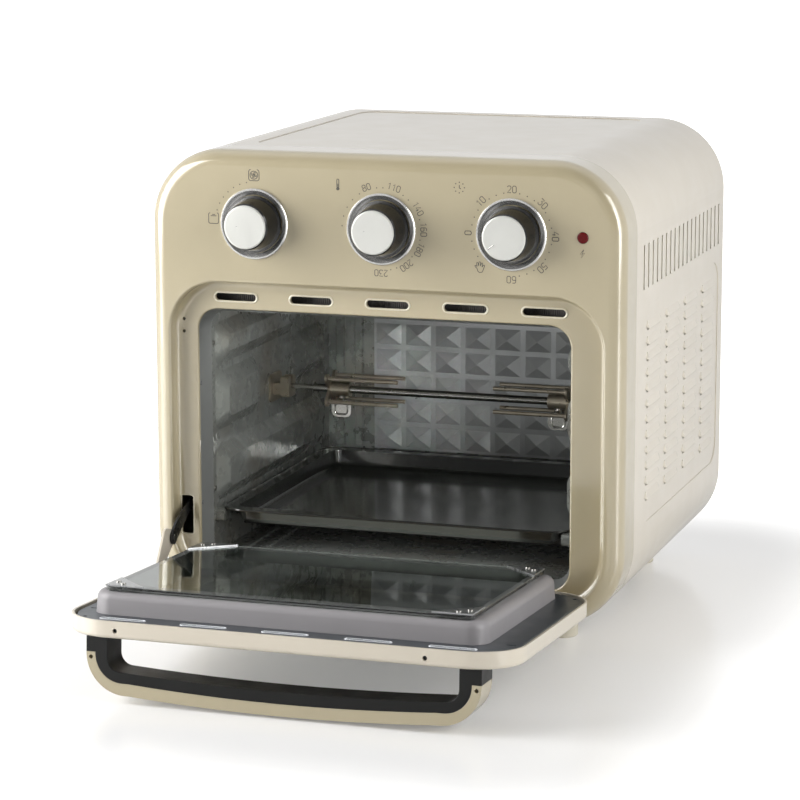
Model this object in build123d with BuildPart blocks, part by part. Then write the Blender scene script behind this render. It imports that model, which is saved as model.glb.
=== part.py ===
from build123d import *
import os
from math import cos, radians, sin, tan

os.makedirs("parts", exist_ok=True)

# Driving dimensions, in millimetres. X runs to the right seen from the front,
# depths are counted backwards from the face of the control panel, heights from the floor.

# Body
body_width = 352.6
body_height = 331.0
body_corner = 53.0
body_depth = 317.0
foot_height = 18.0
frame_depth = 36.0
frame_wall = 3.0
frame_edge = 11.0
sheet = 1.2

# Recess that the door closes into, and the mouth of the oven inside it
recess_half_width = 161.5
recess_bottom = foot_height + 13.5
recess_top = foot_height + 235.5
recess_corner = 37.0
recess_depth = 13.0
recess_lip = 2.2
recess_cove = 5.0
band_wall = 3.0
mouth_left = -145.5
mouth_right = 135.0
mouth_bottom = foot_height + 23.0
mouth_top = foot_height + 214.0
mouth_corner = 16.0
mouth_lip = 1.4

# Air slots over the mouth, repeated in the door
air_slots = 5
air_slot_pitch = 57.8
air_slot_length = 32.0
air_slot_width = 5.8
air_slot_height = foot_height + 223.2

# Cooking cavity
collar_length = 14.0
collar_taper = 4.0
wall_sheet = 1.0
cavity_length = 256.0
emboss_height = 7.0
emboss_bevel = 11.0
ledge_depth = 7.0
ledge_top = foot_height + 59.5
ledge_height = 8.0

# Reflector on the back of the cavity
reflector_left = -102.0
reflector_bottom = foot_height + 59.0
pyramid_width = 25.0
pyramid_rise = 21.0
pyramid_height = 3.5
pyramid_bead = 4.0
pyramid_columns = 8
pyramid_rows = 7
reflector_sheet = 1.0

# Door
hinge_depth = 2.0
hinge_height = foot_height + 16.4
open_tilt = 3.5
door_half_width = 159.2
door_reach = 217.6
door_gap = 0.1
door_corner = 35.0
door_face = -2.5
door_thickness = 12.0
door_edge = 3.0
door_sheet = 1.6
plate_inset = 3.5
plate_drop = 1.0
plate_sheet = 1.0
window_half_width = 110.0
window_start = 38.0
window_end = 165.0
window_corner = 12.0
outer_pane_lap = 8.0
pane = 3.0

# Raised frame of the inner pane
ring_left = -144.3
ring_right = 133.8
ring_start = 9.5
ring_end = 194.0
ring_corner = 14.0
ring_draft = 1.2
ring_round = 6.0
ring_height = 16.0
ring_band = 14.0
pane_side_reveal = 8.0
pane_hinge_reveal = 4.0
pane_far_reveal = 2.2
clip_leg = 28.0
clip_sheet = 1.0

# Handle
handle_half_width = 138.0
handle_start = 189.6
handle_height = 24.0
handle_stand_off = 43.0
handle_bow = 4.0
cover_thickness = 6.6
cover_front = 8.4
cover_start = 10.5
cover_corner = 30.0
grip_leg = 8.5
grip_bar = 8.0
grip_corner = 9.0
handle_fit = 0.1

# Hinge pins and the stay arm
pin_radius = 1.5
barrel_radius = 2.4
knuckle_length = 10.0
barrel_length = 8.0
hinge_spacing = 104.0
running_gap = 0.3
bearing_gap = 0.05
arm_slot_left = -160.5
arm_slot_right = -150.6
arm_slot_bottom = foot_height + 44.8
arm_slot_top = foot_height + 74.3
stay_along = 20.8
stay_out = 31.5
stay_sheet = 1.6
stay_slope = 27.0
bracket_start = 38.6
bracket_width = 14.0
bracket_eye = 5.4
bracket_nose = 4.5
stay_length = 58.0
rivet_radius = 2.0
rivet_head = 3.2
rivet_head_height = 0.8

# Controls
knob_pitch = 95.3
knob_height = foot_height + 279.0
bezel_radius = 25.5
bezel_height = 2.0
knob_base_radius = 20.5
knob_top_radius = 16.5
knob_length = 18.5
knob_clearance = 1.0
knob_face_radius = 15.6
knob_face_height = 0.9
shaft_radius = 3.0
shaft_length = 30.0
lamp_x = 146.4
lamp_height = foot_height + 278.8
lamp_radius = 4.0

# Spit
spit_depth = 160.0
spit_height = foot_height + 131.0
spit_radius = 3.0
spit_left = -134.0
socket_radius = 8.0
socket_length = 16.0
fork_reach = 96.0
fork_sheet = 2.0
fork_span = 33.0
fork_arm = 7.0
tine_radius = 1.6
tine_length = 58.0
tine_offset = 9.0
clamp_length = 15.0
clamp_radius = 5.5
screw_radius = 2.0
screw_collar = 3.2
wing_span = 16.0
wing_height = 14.0
wing_sheet = 1.8
rod_step_radius = 2.0
rod_step_length = 26.0

# Baking tray
tray_front = 32.0
tray_back = 270.0
tray_side_gap = 2.3
tray_rim = ledge_top + 1.5
tray_depth = 12.5
tray_sheet = 0.9
tray_corner = 18.0
tray_flange = 10.0

# Heating rods and the roof fan
rod_radius = 3.2
rod_front = 95.0
rod_back = 225.0
upper_rod_height = foot_height + 203.0
lower_rod_height = foot_height + 39.0
holder_radius = 5.0
holder_length = 10.0
fan_radius = 46.0
fan_height = 13.0
fan_blades = 8
fan_chamber_radius = 60.0
fan_chamber_height = 22.0
fan_opening = 52.0
guard_radius = 57.0
fan_shaft = 3.0
fan_motor_radius = 27.0
fan_motor_height = 34.0

# Sides and back of the body
louvre_columns = 4
louvre_rows = 12
louvre_width = 37.0
louvre_column_pitch = 58.7
louvre_row_pitch = 11.35
louvre_first_column = 71.0
louvre_first_row = foot_height + 81.9
louvre_hood = 1.6
louvre_slit = 2.2
upper_slots = 19
upper_slot_pitch = 13.5
upper_slot_first = 57.5
upper_slot_bottom = foot_height + 235.5
upper_slot_length = 31.8
upper_slot_width = 4.5
panel_sink = 0.5
side_panel_front = 60.0
side_panel_back = 302.0
side_panel_bottom = foot_height + 64.0
side_panel_top = foot_height + 223.0
side_panel_corner = 18.0
top_panel_half_width = 115.0
top_panel_front = 50.0
top_panel_back = 303.0
base_half_width = 104.0
foot_radius = 12.0
foot_x = 121.0
foot_front = 48.0
foot_back = 280.0
gland_x = 120.0
gland_height = foot_height + 46.0
gland_radius = 8.0
cord_hole_radius = 3.6

# Places worked out from the driving dimensions
INTO = (0, 1, 0)
body_bottom = foot_height
body_top = foot_height + body_height
body_middle = foot_height + body_height / 2
tip_depth = door_reach * cos(radians(open_tilt)) - hinge_depth
front_y = (tip_depth - body_depth) / 2
rim = door_face + door_thickness
plate_top = rim - plate_drop
ring_top = plate_top + ring_height
cavity_front = recess_depth + band_wall + collar_length
cavity_back = cavity_front + cavity_length
cavity_left = mouth_left + collar_taper
cavity_right = mouth_right - collar_taper
cavity_floor_top = mouth_bottom + collar_taper
cavity_roof_bottom = mouth_top - collar_taper
cavity_middle = (cavity_left + cavity_right) / 2
wrap_back = body_depth - sheet
along = Vector(0, -cos(radians(open_tilt)), sin(radians(open_tilt)))
out = Vector(0, sin(radians(open_tilt)), cos(radians(open_tilt)))
hinge_point = Vector(0, front_y + hinge_depth, hinge_height)
door_out = Axis(hinge_point, out)
door_along = Axis(hinge_point, along)


def across(depth):
    """Plane across the oven at a depth, drawn as seen from the front."""
    return Plane(origin=(0, front_y + depth, 0), x_dir=(1, 0, 0), z_dir=(0, -1, 0))


def upright(x):
    """Plane along the side of the oven, drawn as depth and height."""
    return Plane(origin=(x, front_y, 0), x_dir=(0, 1, 0), z_dir=(1, 0, 0))


def level(z):
    """Level plane, drawn as X and depth."""
    return Plane(origin=(0, front_y, z), x_dir=(1, 0, 0), z_dir=(0, 0, 1))


def door_level(height):
    """Plane along the open door, drawn as X and distance from the hinge; it faces outwards."""
    return Plane(origin=hinge_point + out * height, x_dir=(1, 0, 0), z_dir=-out)


def door_upright(x):
    """Plane square to the hinge, drawn as distance from the hinge and height off it."""
    return Plane(origin=hinge_point + Vector(x, 0, 0), x_dir=along, z_dir=(-1, 0, 0))


def door_across(reach):
    """Plane across the open door at a distance from the hinge, drawn as X and height."""
    return Plane(origin=hinge_point + along * reach, x_dir=(1, 0, 0), z_dir=along)


def rounded(x0, x1, y0, y1, radius, mode=Mode.ADD):
    """Rounded rectangle between two corners."""
    with Locations(((x0 + x1) / 2, (y0 + y1) / 2)):
        RectangleRounded(x1 - x0, y1 - y0, radius, mode=mode)


def plain(x0, x1, y0, y1, mode=Mode.ADD):
    """Rectangle between two corners."""
    with Locations(((x0 + x1) / 2, (y0 + y1) / 2)):
        Rectangle(x1 - x0, y1 - y0, mode=mode)


def body_outline(inset=0.0, mode=Mode.ADD):
    """Front view of the body."""
    half = body_width / 2 - inset
    rounded(-half, half, body_bottom + inset, body_top - inset, body_corner - inset, mode)


def recess_outline(grow=0.0):
    """Front view of the recess for the door."""
    half = recess_half_width + grow
    rounded(-half, half, recess_bottom - grow, recess_top + grow, recess_corner + grow)


def mouth_outline(grow=0.0):
    """Front view of the mouth of the oven."""
    rounded(
        mouth_left - grow,
        mouth_right + grow,
        mouth_bottom - grow,
        mouth_top + grow,
        mouth_corner + grow,
    )


def cavity_outline(grow=0.0):
    """Front view of the cavity where the collar meets its walls."""
    rounded(
        cavity_left - grow,
        cavity_right + grow,
        cavity_floor_top - grow,
        cavity_roof_bottom + grow,
        mouth_corner - collar_taper + grow,
    )


def finish(piece, name):
    """Label a piece and write its file."""
    piece.part.label = name
    export_step(piece.part, f"parts/{name}.step")


# Front frame with the control panel, the door recess and the mouth
knob_places = [(-knob_pitch, knob_height), (0, knob_height), (knob_pitch, knob_height)]
with BuildPart() as front_frame:
    with BuildSketch(across(0)):
        body_outline()
    extrude(amount=frame_depth, dir=INTO)
    fillet(front_frame.faces().sort_by(Axis.Y)[0].edges(), frame_edge)
    offset(amount=-frame_wall, openings=front_frame.faces().sort_by(Axis.Y)[-1])
    with BuildSketch(across(frame_wall / 2)):
        recess_outline(frame_wall)
    extrude(amount=recess_depth + band_wall - frame_wall / 2, dir=INTO)
    with BuildSketch(across(0)):
        recess_outline()
    extrude(amount=recess_depth, dir=INTO, mode=Mode.SUBTRACT)
    fillet(front_frame.faces().sort_by(Axis.Y)[0].inner_wires()[0].edges(), recess_lip)
    band_edges = front_frame.edges().filter_by_position(
        Axis.Y, front_y + recess_depth - 0.01, front_y + recess_depth + 0.01
    )
    fillet(band_edges, recess_cove)
    with BuildSketch(across(recess_depth)):
        mouth_outline()
    extrude(amount=band_wall, dir=INTO, mode=Mode.SUBTRACT)
    mouth_edges = front_frame.edges().filter_by_position(
        Axis.Y, front_y + recess_depth - 0.01, front_y + recess_depth + 0.01
    )
    mouth_rim = mouth_edges.filter_by_position(
        Axis.X, mouth_left - 0.1, mouth_right + 0.1
    ).filter_by_position(Axis.Z, mouth_bottom - 0.1, mouth_top + 0.1)
    fillet(mouth_rim, mouth_lip)
    with BuildSketch(across(recess_depth - recess_cove)):
        with Locations((0, air_slot_height)):
            with GridLocations(air_slot_pitch, 1, air_slots, 1):
                SlotOverall(air_slot_length, air_slot_width)
        rounded(arm_slot_left, arm_slot_right, arm_slot_bottom, arm_slot_top, 2)
        with Locations((-156, mouth_top - 8.5), (-156, mouth_top - 17.7)):
            Circle(1.2)
    extrude(amount=recess_cove + band_wall, dir=INTO, mode=Mode.SUBTRACT)
    with BuildSketch(across(0)):
        with Locations(knob_places):
            Circle(shaft_radius + 2)
        with Locations((lamp_x, lamp_height)):
            Circle(lamp_radius + 0.1)
    extrude(amount=frame_wall, dir=INTO, mode=Mode.SUBTRACT)
    # fixed hinge knuckles on the sill of the recess
    for side in (-1, 1):
        knuckle_x = side * hinge_spacing
        with BuildSketch(upright(knuckle_x - knuckle_length / 2)):
            with Locations((hinge_depth, hinge_height)):
                Circle(barrel_radius)
            plain(
                hinge_depth,
                hinge_depth + barrel_radius,
                recess_bottom - frame_wall / 2,
                hinge_height,
            )
        extrude(amount=knuckle_length)
        with BuildSketch(upright(knuckle_x - knuckle_length / 2)):
            with Locations((hinge_depth, hinge_height)):
                Circle(pin_radius + 0.005)
        extrude(amount=knuckle_length, mode=Mode.SUBTRACT)
finish(front_frame, "front_frame")

# Hinge pins, held in the frame's knuckles and running in the door's barrels
pin_length = knuckle_length + 2 * barrel_length
with BuildPart() as hinge_pins:
    for side in (-1, 1):
        with BuildSketch(upright(side * hinge_spacing - pin_length / 2)):
            with Locations((hinge_depth, hinge_height)):
                Circle(pin_radius)
        extrude(amount=pin_length)
finish(hinge_pins, "hinge_pins")

# Outer wrap: one bent sheet over the top and sides, open underneath
with BuildPart() as outer_wrap:
    with BuildSketch(across(frame_depth)):
        body_outline()
        body_outline(sheet, mode=Mode.SUBTRACT)
    extrude(amount=wrap_back - frame_depth, dir=INTO)
    with BuildSketch(level(body_bottom)):
        plain(-base_half_width, base_half_width, frame_depth, wrap_back)
    extrude(amount=sheet, mode=Mode.SUBTRACT)
    # shallow panel pressed into the top
    with BuildSketch(level(body_top)):
        rounded(-top_panel_half_width, top_panel_half_width, top_panel_front, top_panel_back, 14)
    extrude(amount=-panel_sink, mode=Mode.SUBTRACT)
    for side in (-1, 1):
        skin = side * body_width / 2
        # shallow panel pressed into each side
        with BuildSketch(upright(skin)):
            rounded(
                side_panel_front,
                side_panel_back,
                side_panel_bottom,
                side_panel_top,
                side_panel_corner,
            )
        extrude(amount=-side * panel_sink, mode=Mode.SUBTRACT)
        # upper row of upright air slots
        with BuildSketch(upright(skin)):
            for slot in range(upper_slots):
                with Locations(
                    (
                        upper_slot_first + slot * upper_slot_pitch,
                        upper_slot_bottom + upper_slot_length / 2,
                    )
                ):
                    Rectangle(upper_slot_width, upper_slot_length)
        extrude(amount=-side * sheet, mode=Mode.SUBTRACT)
        # slits, then the hoods bent out over them
        with BuildSketch(upright(skin)):
            for column in range(louvre_columns):
                for row in range(louvre_rows):
                    with Locations(
                        (
                            louvre_first_column
                            + column * louvre_column_pitch
                            + louvre_width / 2,
                            louvre_first_row + row * louvre_row_pitch - louvre_slit / 2,
                        )
                    ):
                        Rectangle(louvre_width, louvre_slit)
        extrude(amount=-side * sheet, mode=Mode.SUBTRACT)
        hood_root = skin - side * (panel_sink + 0.2)
        hood_lip = skin + side * (louvre_hood - panel_sink)
        for column in range(louvre_columns):
            start = louvre_first_column + column * louvre_column_pitch
            with BuildSketch(across(start)):
                for row in range(louvre_rows):
                    slit_top = louvre_first_row + row * louvre_row_pitch
                    with BuildLine():
                        Polyline(
                            (hood_root, slit_top),
                            (hood_lip, slit_top - louvre_slit * 0.7),
                            (hood_lip, slit_top - louvre_slit * 0.3),
                            (hood_root, slit_top + louvre_row_pitch * 0.45),
                            close=True,
                        )
                    make_face()
            extrude(amount=louvre_width, dir=INTO)
finish(outer_wrap, "outer_wrap")

# Base plate between the returns of the wrap, with rows of air slots
with BuildPart() as base_plate:
    base_fit = 0.2
    with BuildSketch(level(body_bottom)):
        plain(
            -base_half_width + base_fit,
            base_half_width - base_fit,
            frame_depth,
            wrap_back,
        )
        with Locations((0, (frame_depth + wrap_back) / 2)):
            with GridLocations(48, 18, 4, 9):
                Rectangle(34, 4, mode=Mode.SUBTRACT)
    extrude(amount=sheet)
finish(base_plate, "base_plate")

# Rear cover over the end of the wrap
with BuildPart() as rear_cover:
    with BuildSketch(across(wrap_back)):
        body_outline()
        with Locations((0, knob_height - 10), (0, spit_height - 37)):
            with GridLocations(50, 9, 5, 4):
                Rectangle(36, 3.4, mode=Mode.SUBTRACT)
        with Locations((gland_x, gland_height)):
            Circle(gland_radius + 0.1, mode=Mode.SUBTRACT)
    extrude(amount=sheet, dir=INTO)
finish(rear_cover, "rear_cover")

# Cord inlet: a stepped gland with its bore, standing in the rear cover
with BuildPart() as cord_gland:
    with BuildSketch(across(wrap_back - 6)):
        with Locations((gland_x, gland_height)):
            Circle(gland_radius)
    extrude(amount=sheet + 6, dir=INTO)
    with BuildSketch(across(wrap_back - 2)):
        with Locations((gland_x, gland_height)):
            Circle(gland_radius + 2.5)
    extrude(amount=2, dir=INTO)
    with BuildSketch(across(wrap_back - 6)):
        with Locations((gland_x, gland_height)):
            Circle(cord_hole_radius)
    extrude(amount=sheet + 6, dir=INTO, mode=Mode.SUBTRACT)
finish(cord_gland, "cord_gland")

# Feet
foot_places = [
    (x, depth) for x in (-foot_x, foot_x) for depth in (foot_front, foot_back)
]
with BuildPart() as feet:
    with BuildSketch(level(foot_height)):
        with Locations(foot_places):
            Circle(foot_radius)
    extrude(amount=-foot_height, taper=2)
    fillet(feet.faces().filter_by(Axis.Z).group_by(Axis.Z)[0].edges(), 1.2)
finish(feet, "feet")

# Collar that funnels from the mouth into the cavity
with BuildPart() as cavity_collar:
    collar_front = recess_depth + band_wall
    with BuildSketch(across(collar_front)):
        mouth_outline(wall_sheet)
    with BuildSketch(across(cavity_front)):
        cavity_outline(wall_sheet)
    loft()
    with BuildSketch(across(collar_front)):
        mouth_outline()
    with BuildSketch(across(cavity_front)):
        cavity_outline()
    loft(mode=Mode.SUBTRACT)
finish(cavity_collar, "cavity_collar")

# Rivets along the collar's left side
with BuildPart() as collar_rivets:
    for height in (ledge_top + 16.5, ledge_top + 125.5):
        with BuildSketch(upright(cavity_left)):
            with Locations((cavity_front + 2.8, height)):
                Circle(1.9)
        extrude(amount=0.8)
finish(collar_rivets, "collar_rivets")

# Side walls of the cavity, pressed with bevelled panels; the lowest ledge carries the tray.
# Each panel is front, back, bottom, top.
wall_panels = [
    (cavity_front + 6, 200.0, ledge_top + 107.5, ledge_top + 139.5),
    (cavity_front + 6, 120.0, ledge_top + 58.5, ledge_top + 102.5),
    (201.0, 268.0, ledge_top + 67.5, ledge_top + 105.5),
    (cavity_front + 6, 265.0, ledge_top + 5.5, ledge_top + 47.5),
]
rod_places = [
    (rod_front, upper_rod_height),
    (rod_back, upper_rod_height),
    (rod_front, lower_rod_height),
    (rod_back, lower_rod_height),
]


def panel_outline(panel, inset, radius):
    """Outline of a pressed panel, drawn in by its bevel."""
    front, back, bottom, top = panel
    rounded(
        front + inset, back - inset, bottom + inset * 0.9, top - inset * 0.9, radius
    )


for name, face, inward in (("left_wall", cavity_left, 1), ("right_wall", cavity_right, -1)):
    with BuildPart() as wall:
        with BuildSketch(upright(face)):
            plain(cavity_front, cavity_back, cavity_floor_top, cavity_roof_bottom)
        extrude(amount=-inward * wall_sheet)
        # pressed panels, then their hollow backs
        for set_back, mode in ((0, Mode.ADD), (wall_sheet, Mode.SUBTRACT)):
            root = face - inward * set_back
            for panel in wall_panels:
                with BuildSketch(upright(root)):
                    panel_outline(panel, 0, 9)
                with BuildSketch(upright(root + inward * emboss_height)):
                    panel_outline(panel, emboss_bevel, 5)
                loft(mode=mode)
        with BuildSketch(upright(face)):
            rounded(
                cavity_front + 2,
                tray_back + 8,
                ledge_top - ledge_height,
                ledge_top,
                2,
            )
        extrude(amount=inward * ledge_depth)
        with BuildSketch(upright(face - inward * wall_sheet)):
            with Locations(rod_places):
                Circle(holder_radius - 1)
            if inward < 0:
                with Locations((spit_depth, spit_height)):
                    Circle(socket_radius + 0.5)
        extrude(amount=inward * (wall_sheet + 0.1), mode=Mode.SUBTRACT)
    finish(wall, name)

# Floor of the cavity with two pressed runners at the left
with BuildPart() as cavity_floor:
    with BuildSketch(level(cavity_floor_top)):
        plain(
            cavity_left - wall_sheet, cavity_right + wall_sheet, cavity_front, cavity_back
        )
    extrude(amount=-wall_sheet)
    with BuildSketch(level(cavity_floor_top)):
        plain(cavity_left + 12, cavity_left + 18, cavity_front + 4, cavity_back - 10)
        plain(cavity_left + 26, cavity_left + 32, cavity_front + 4, cavity_back - 10)
    extrude(amount=1.2, taper=20)
finish(cavity_floor, "cavity_floor")

# Roof of the cavity with the opening of the fan
fan_depth = spit_depth
with BuildPart() as cavity_roof:
    with BuildSketch(level(cavity_roof_bottom)):
        plain(
            cavity_left - wall_sheet, cavity_right + wall_sheet, cavity_front, cavity_back
        )
        with Locations((cavity_middle, fan_depth)):
            Circle(fan_opening, mode=Mode.SUBTRACT)
    extrude(amount=wall_sheet)
finish(cavity_roof, "cavity_roof")

# Back panel of the cavity with pressed uprights beside the reflector
with BuildPart() as back_panel:
    with BuildSketch(across(cavity_back)):
        plain(
            cavity_left - wall_sheet,
            cavity_right + wall_sheet,
            cavity_floor_top - wall_sheet,
            cavity_roof_bottom + wall_sheet,
        )
    extrude(amount=wall_sheet, dir=INTO)
    with BuildSketch(across(cavity_back)):
        for x in (-135.0, -119.0, 101.0, 117.0):
            plain(x, x + 8, reflector_bottom, cavity_roof_bottom - 6)
    extrude(amount=2.5, dir=(0, -1, 0), taper=25)
finish(back_panel, "back_panel")

# Reflector: rows and columns of pyramids left between crossing grooves
reflector_right = reflector_left + pyramid_columns * pyramid_width
reflector_top = reflector_bottom + pyramid_rows * pyramid_rise
reflector_base = cavity_back - reflector_sheet
with BuildPart() as back_reflector:
    with BuildSketch(across(cavity_back)):
        plain(reflector_left, reflector_right, reflector_bottom, reflector_top)
    extrude(amount=reflector_sheet + pyramid_height, dir=(0, -1, 0))
    crest = reflector_base - pyramid_height - 0.01
    with BuildSketch(level(reflector_bottom)):
        for column in range(pyramid_columns + 1):
            groove = reflector_left + column * pyramid_width
            with BuildLine():
                Polyline(
                    (groove - pyramid_bead / 2, reflector_base),
                    (groove + pyramid_bead / 2, reflector_base),
                    (groove + pyramid_width / 2, crest),
                    (groove - pyramid_width / 2, crest),
                    close=True,
                )
            make_face()
    extrude(amount=reflector_top - reflector_bottom, mode=Mode.SUBTRACT)
    with BuildSketch(upright(reflector_left)):
        for row in range(pyramid_rows + 1):
            groove = reflector_bottom + row * pyramid_rise
            with BuildLine():
                Polyline(
                    (reflector_base, groove - pyramid_bead / 2),
                    (reflector_base, groove + pyramid_bead / 2),
                    (crest, groove + pyramid_rise / 2),
                    (crest, groove - pyramid_rise / 2),
                    close=True,
                )
            make_face()
    extrude(amount=reflector_right - reflector_left, mode=Mode.SUBTRACT)
finish(back_reflector, "back_reflector")

# Heating rods and their ceramic holders outside the side walls
rod_left = cavity_left - wall_sheet - holder_length
rod_run = cavity_right + wall_sheet + holder_length - rod_left
for name, height in (("upper_heaters", upper_rod_height), ("lower_heaters", lower_rod_height)):
    with BuildPart() as rods:
        with BuildSketch(upright(rod_left)):
            with Locations((rod_front, height), (rod_back, height)):
                Circle(rod_radius)
        extrude(amount=rod_run)
    finish(rods, name)

with BuildPart() as heater_holders:
    for wall_x in (cavity_left - wall_sheet - holder_length, cavity_right + wall_sheet):
        with BuildSketch(upright(wall_x)):
            with Locations(rod_places):
                Rectangle(2 * holder_radius, 2 * holder_radius)
                Circle(rod_radius + 0.05, mode=Mode.SUBTRACT)
        extrude(amount=holder_length)
finish(heater_holders, "heater_holders")

# Fan chamber on the roof, its guard, the fan and its motor
fan_centre = (cavity_middle, fan_depth)
roof_top = cavity_roof_bottom + wall_sheet
chamber_top = roof_top + fan_chamber_height
with BuildPart() as fan_chamber:
    with BuildSketch(level(roof_top)):
        with Locations(fan_centre):
            Circle(fan_chamber_radius)
    extrude(amount=fan_chamber_height, taper=4)
    offset(amount=-wall_sheet, openings=fan_chamber.faces().sort_by(Axis.Z)[0])
    with BuildSketch(level(chamber_top)):
        with Locations(fan_centre):
            Circle(fan_shaft + 1)
    extrude(amount=-wall_sheet, mode=Mode.SUBTRACT)
finish(fan_chamber, "fan_chamber")

with BuildPart() as fan_guard:
    with BuildSketch(level(cavity_roof_bottom)):
        with Locations(fan_centre):
            Circle(guard_radius)
        with Locations(fan_centre):
            with PolarLocations((fan_opening + 8) / 2, 12):
                Rectangle(fan_opening - 12, 5, mode=Mode.SUBTRACT)
    extrude(amount=-wall_sheet)
finish(fan_guard, "fan_guard")

with BuildPart() as convection_fan:
    fan_bottom = roof_top + 2
    with BuildSketch(level(fan_bottom)):
        with Locations(fan_centre):
            Circle(9)
    extrude(amount=fan_height)
    with BuildSketch(level(fan_bottom + fan_height - 1)):
        with Locations(fan_centre):
            Circle(fan_radius)
    extrude(amount=1)
    with BuildSketch(level(fan_bottom)):
        with Locations(fan_centre):
            with PolarLocations((fan_radius + 12) / 2, fan_blades, start_angle=8):
                Rectangle(fan_radius - 13, 1.2, rotation=20)
    extrude(amount=fan_height - 0.5)
    with BuildSketch(level(fan_bottom + fan_height)):
        with Locations(fan_centre):
            Circle(fan_shaft)
    extrude(amount=chamber_top + fan_motor_height / 2 - fan_bottom - fan_height)
finish(convection_fan, "convection_fan")

with BuildPart() as fan_motor:
    with BuildSketch(level(chamber_top)):
        with Locations(fan_centre):
            Circle(fan_motor_radius)
    extrude(amount=fan_motor_height)
    chamfer(fan_motor.faces().sort_by(Axis.Z)[-1].edges(), 2)
    with BuildSketch(level(chamber_top)):
        with Locations(fan_centre):
            Circle(fan_shaft + bearing_gap)
    extrude(amount=fan_motor_height / 2 + 1, mode=Mode.SUBTRACT)
finish(fan_motor, "fan_motor")

# Left bracket that the end of the spit rests in
with BuildPart() as spit_bracket:
    with BuildSketch(upright(cavity_left)):
        with Locations((spit_depth, spit_height - 1)):
            RectangleRounded(26, 22, 4)
    extrude(amount=1.4)
    with BuildSketch(upright(cavity_left + 1.4)):
        with Locations((spit_depth, spit_height - 2)):
            Rectangle(12, 9)
    extrude(amount=spit_left - cavity_left - 1.4)
    with BuildSketch(upright(spit_left)):
        with Locations((spit_depth, spit_height)):
            RectangleRounded(15, 16, 2)
    extrude(amount=7)
    with BuildSketch(upright(spit_left)):
        plain(
            spit_depth - rod_step_radius - bearing_gap,
            spit_depth + rod_step_radius + bearing_gap,
            spit_height,
            spit_height + 9,
        )
        with Locations((spit_depth, spit_height)):
            Circle(rod_step_radius + bearing_gap)
    extrude(amount=7, mode=Mode.SUBTRACT)
finish(spit_bracket, "spit_bracket")

# Spit rod and the driven socket at its right end
socket_left = cavity_right - socket_length + 4
with BuildPart() as spit_rod:
    with BuildSketch(upright(spit_left)):
        with Locations((spit_depth, spit_height)):
            Circle(rod_step_radius)
    extrude(amount=rod_step_length)
    with BuildSketch(upright(spit_left + rod_step_length - 1)):
        with Locations((spit_depth, spit_height)):
            Circle(spit_radius)
    extrude(amount=socket_left + 8 - spit_left - rod_step_length + 1)
finish(spit_rod, "spit_rod")

with BuildPart() as drive_socket:
    with BuildSketch(upright(socket_left)):
        with Locations((spit_depth, spit_height)):
            Circle(socket_radius)
    extrude(amount=socket_length)
    with BuildSketch(upright(socket_left)):
        with Locations((spit_depth, spit_height)):
            Circle(spit_radius + 0.01)
    extrude(amount=8, mode=Mode.SUBTRACT)
    with BuildSketch(upright(socket_left + socket_length)):
        with Locations((spit_depth, spit_height)):
            Circle(fan_shaft)
    extrude(amount=8)
finish(drive_socket, "drive_socket")

# Motor of the spit outside the right wall
with BuildPart() as spit_motor:
    motor_left = socket_left + socket_length + running_gap
    with BuildSketch(upright(motor_left)):
        with Locations((spit_depth, spit_height)):
            Circle(24)
        plain(spit_depth - 32, spit_depth + 32, spit_height - 7, spit_height + 7)
    extrude(amount=1.5)
    with BuildSketch(upright(motor_left)):
        with Locations((spit_depth, spit_height)):
            Circle(24)
    extrude(amount=16)
    with BuildSketch(upright(cavity_right + wall_sheet)):
        with Locations((spit_depth - 28, spit_height), (spit_depth + 28, spit_height)):
            Circle(3)
    extrude(amount=motor_left - cavity_right - wall_sheet)
    with BuildSketch(upright(motor_left)):
        with Locations((spit_depth, spit_height)):
            Circle(fan_shaft + bearing_gap)
    extrude(amount=9, mode=Mode.SUBTRACT)
finish(spit_motor, "spit_motor")

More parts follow.
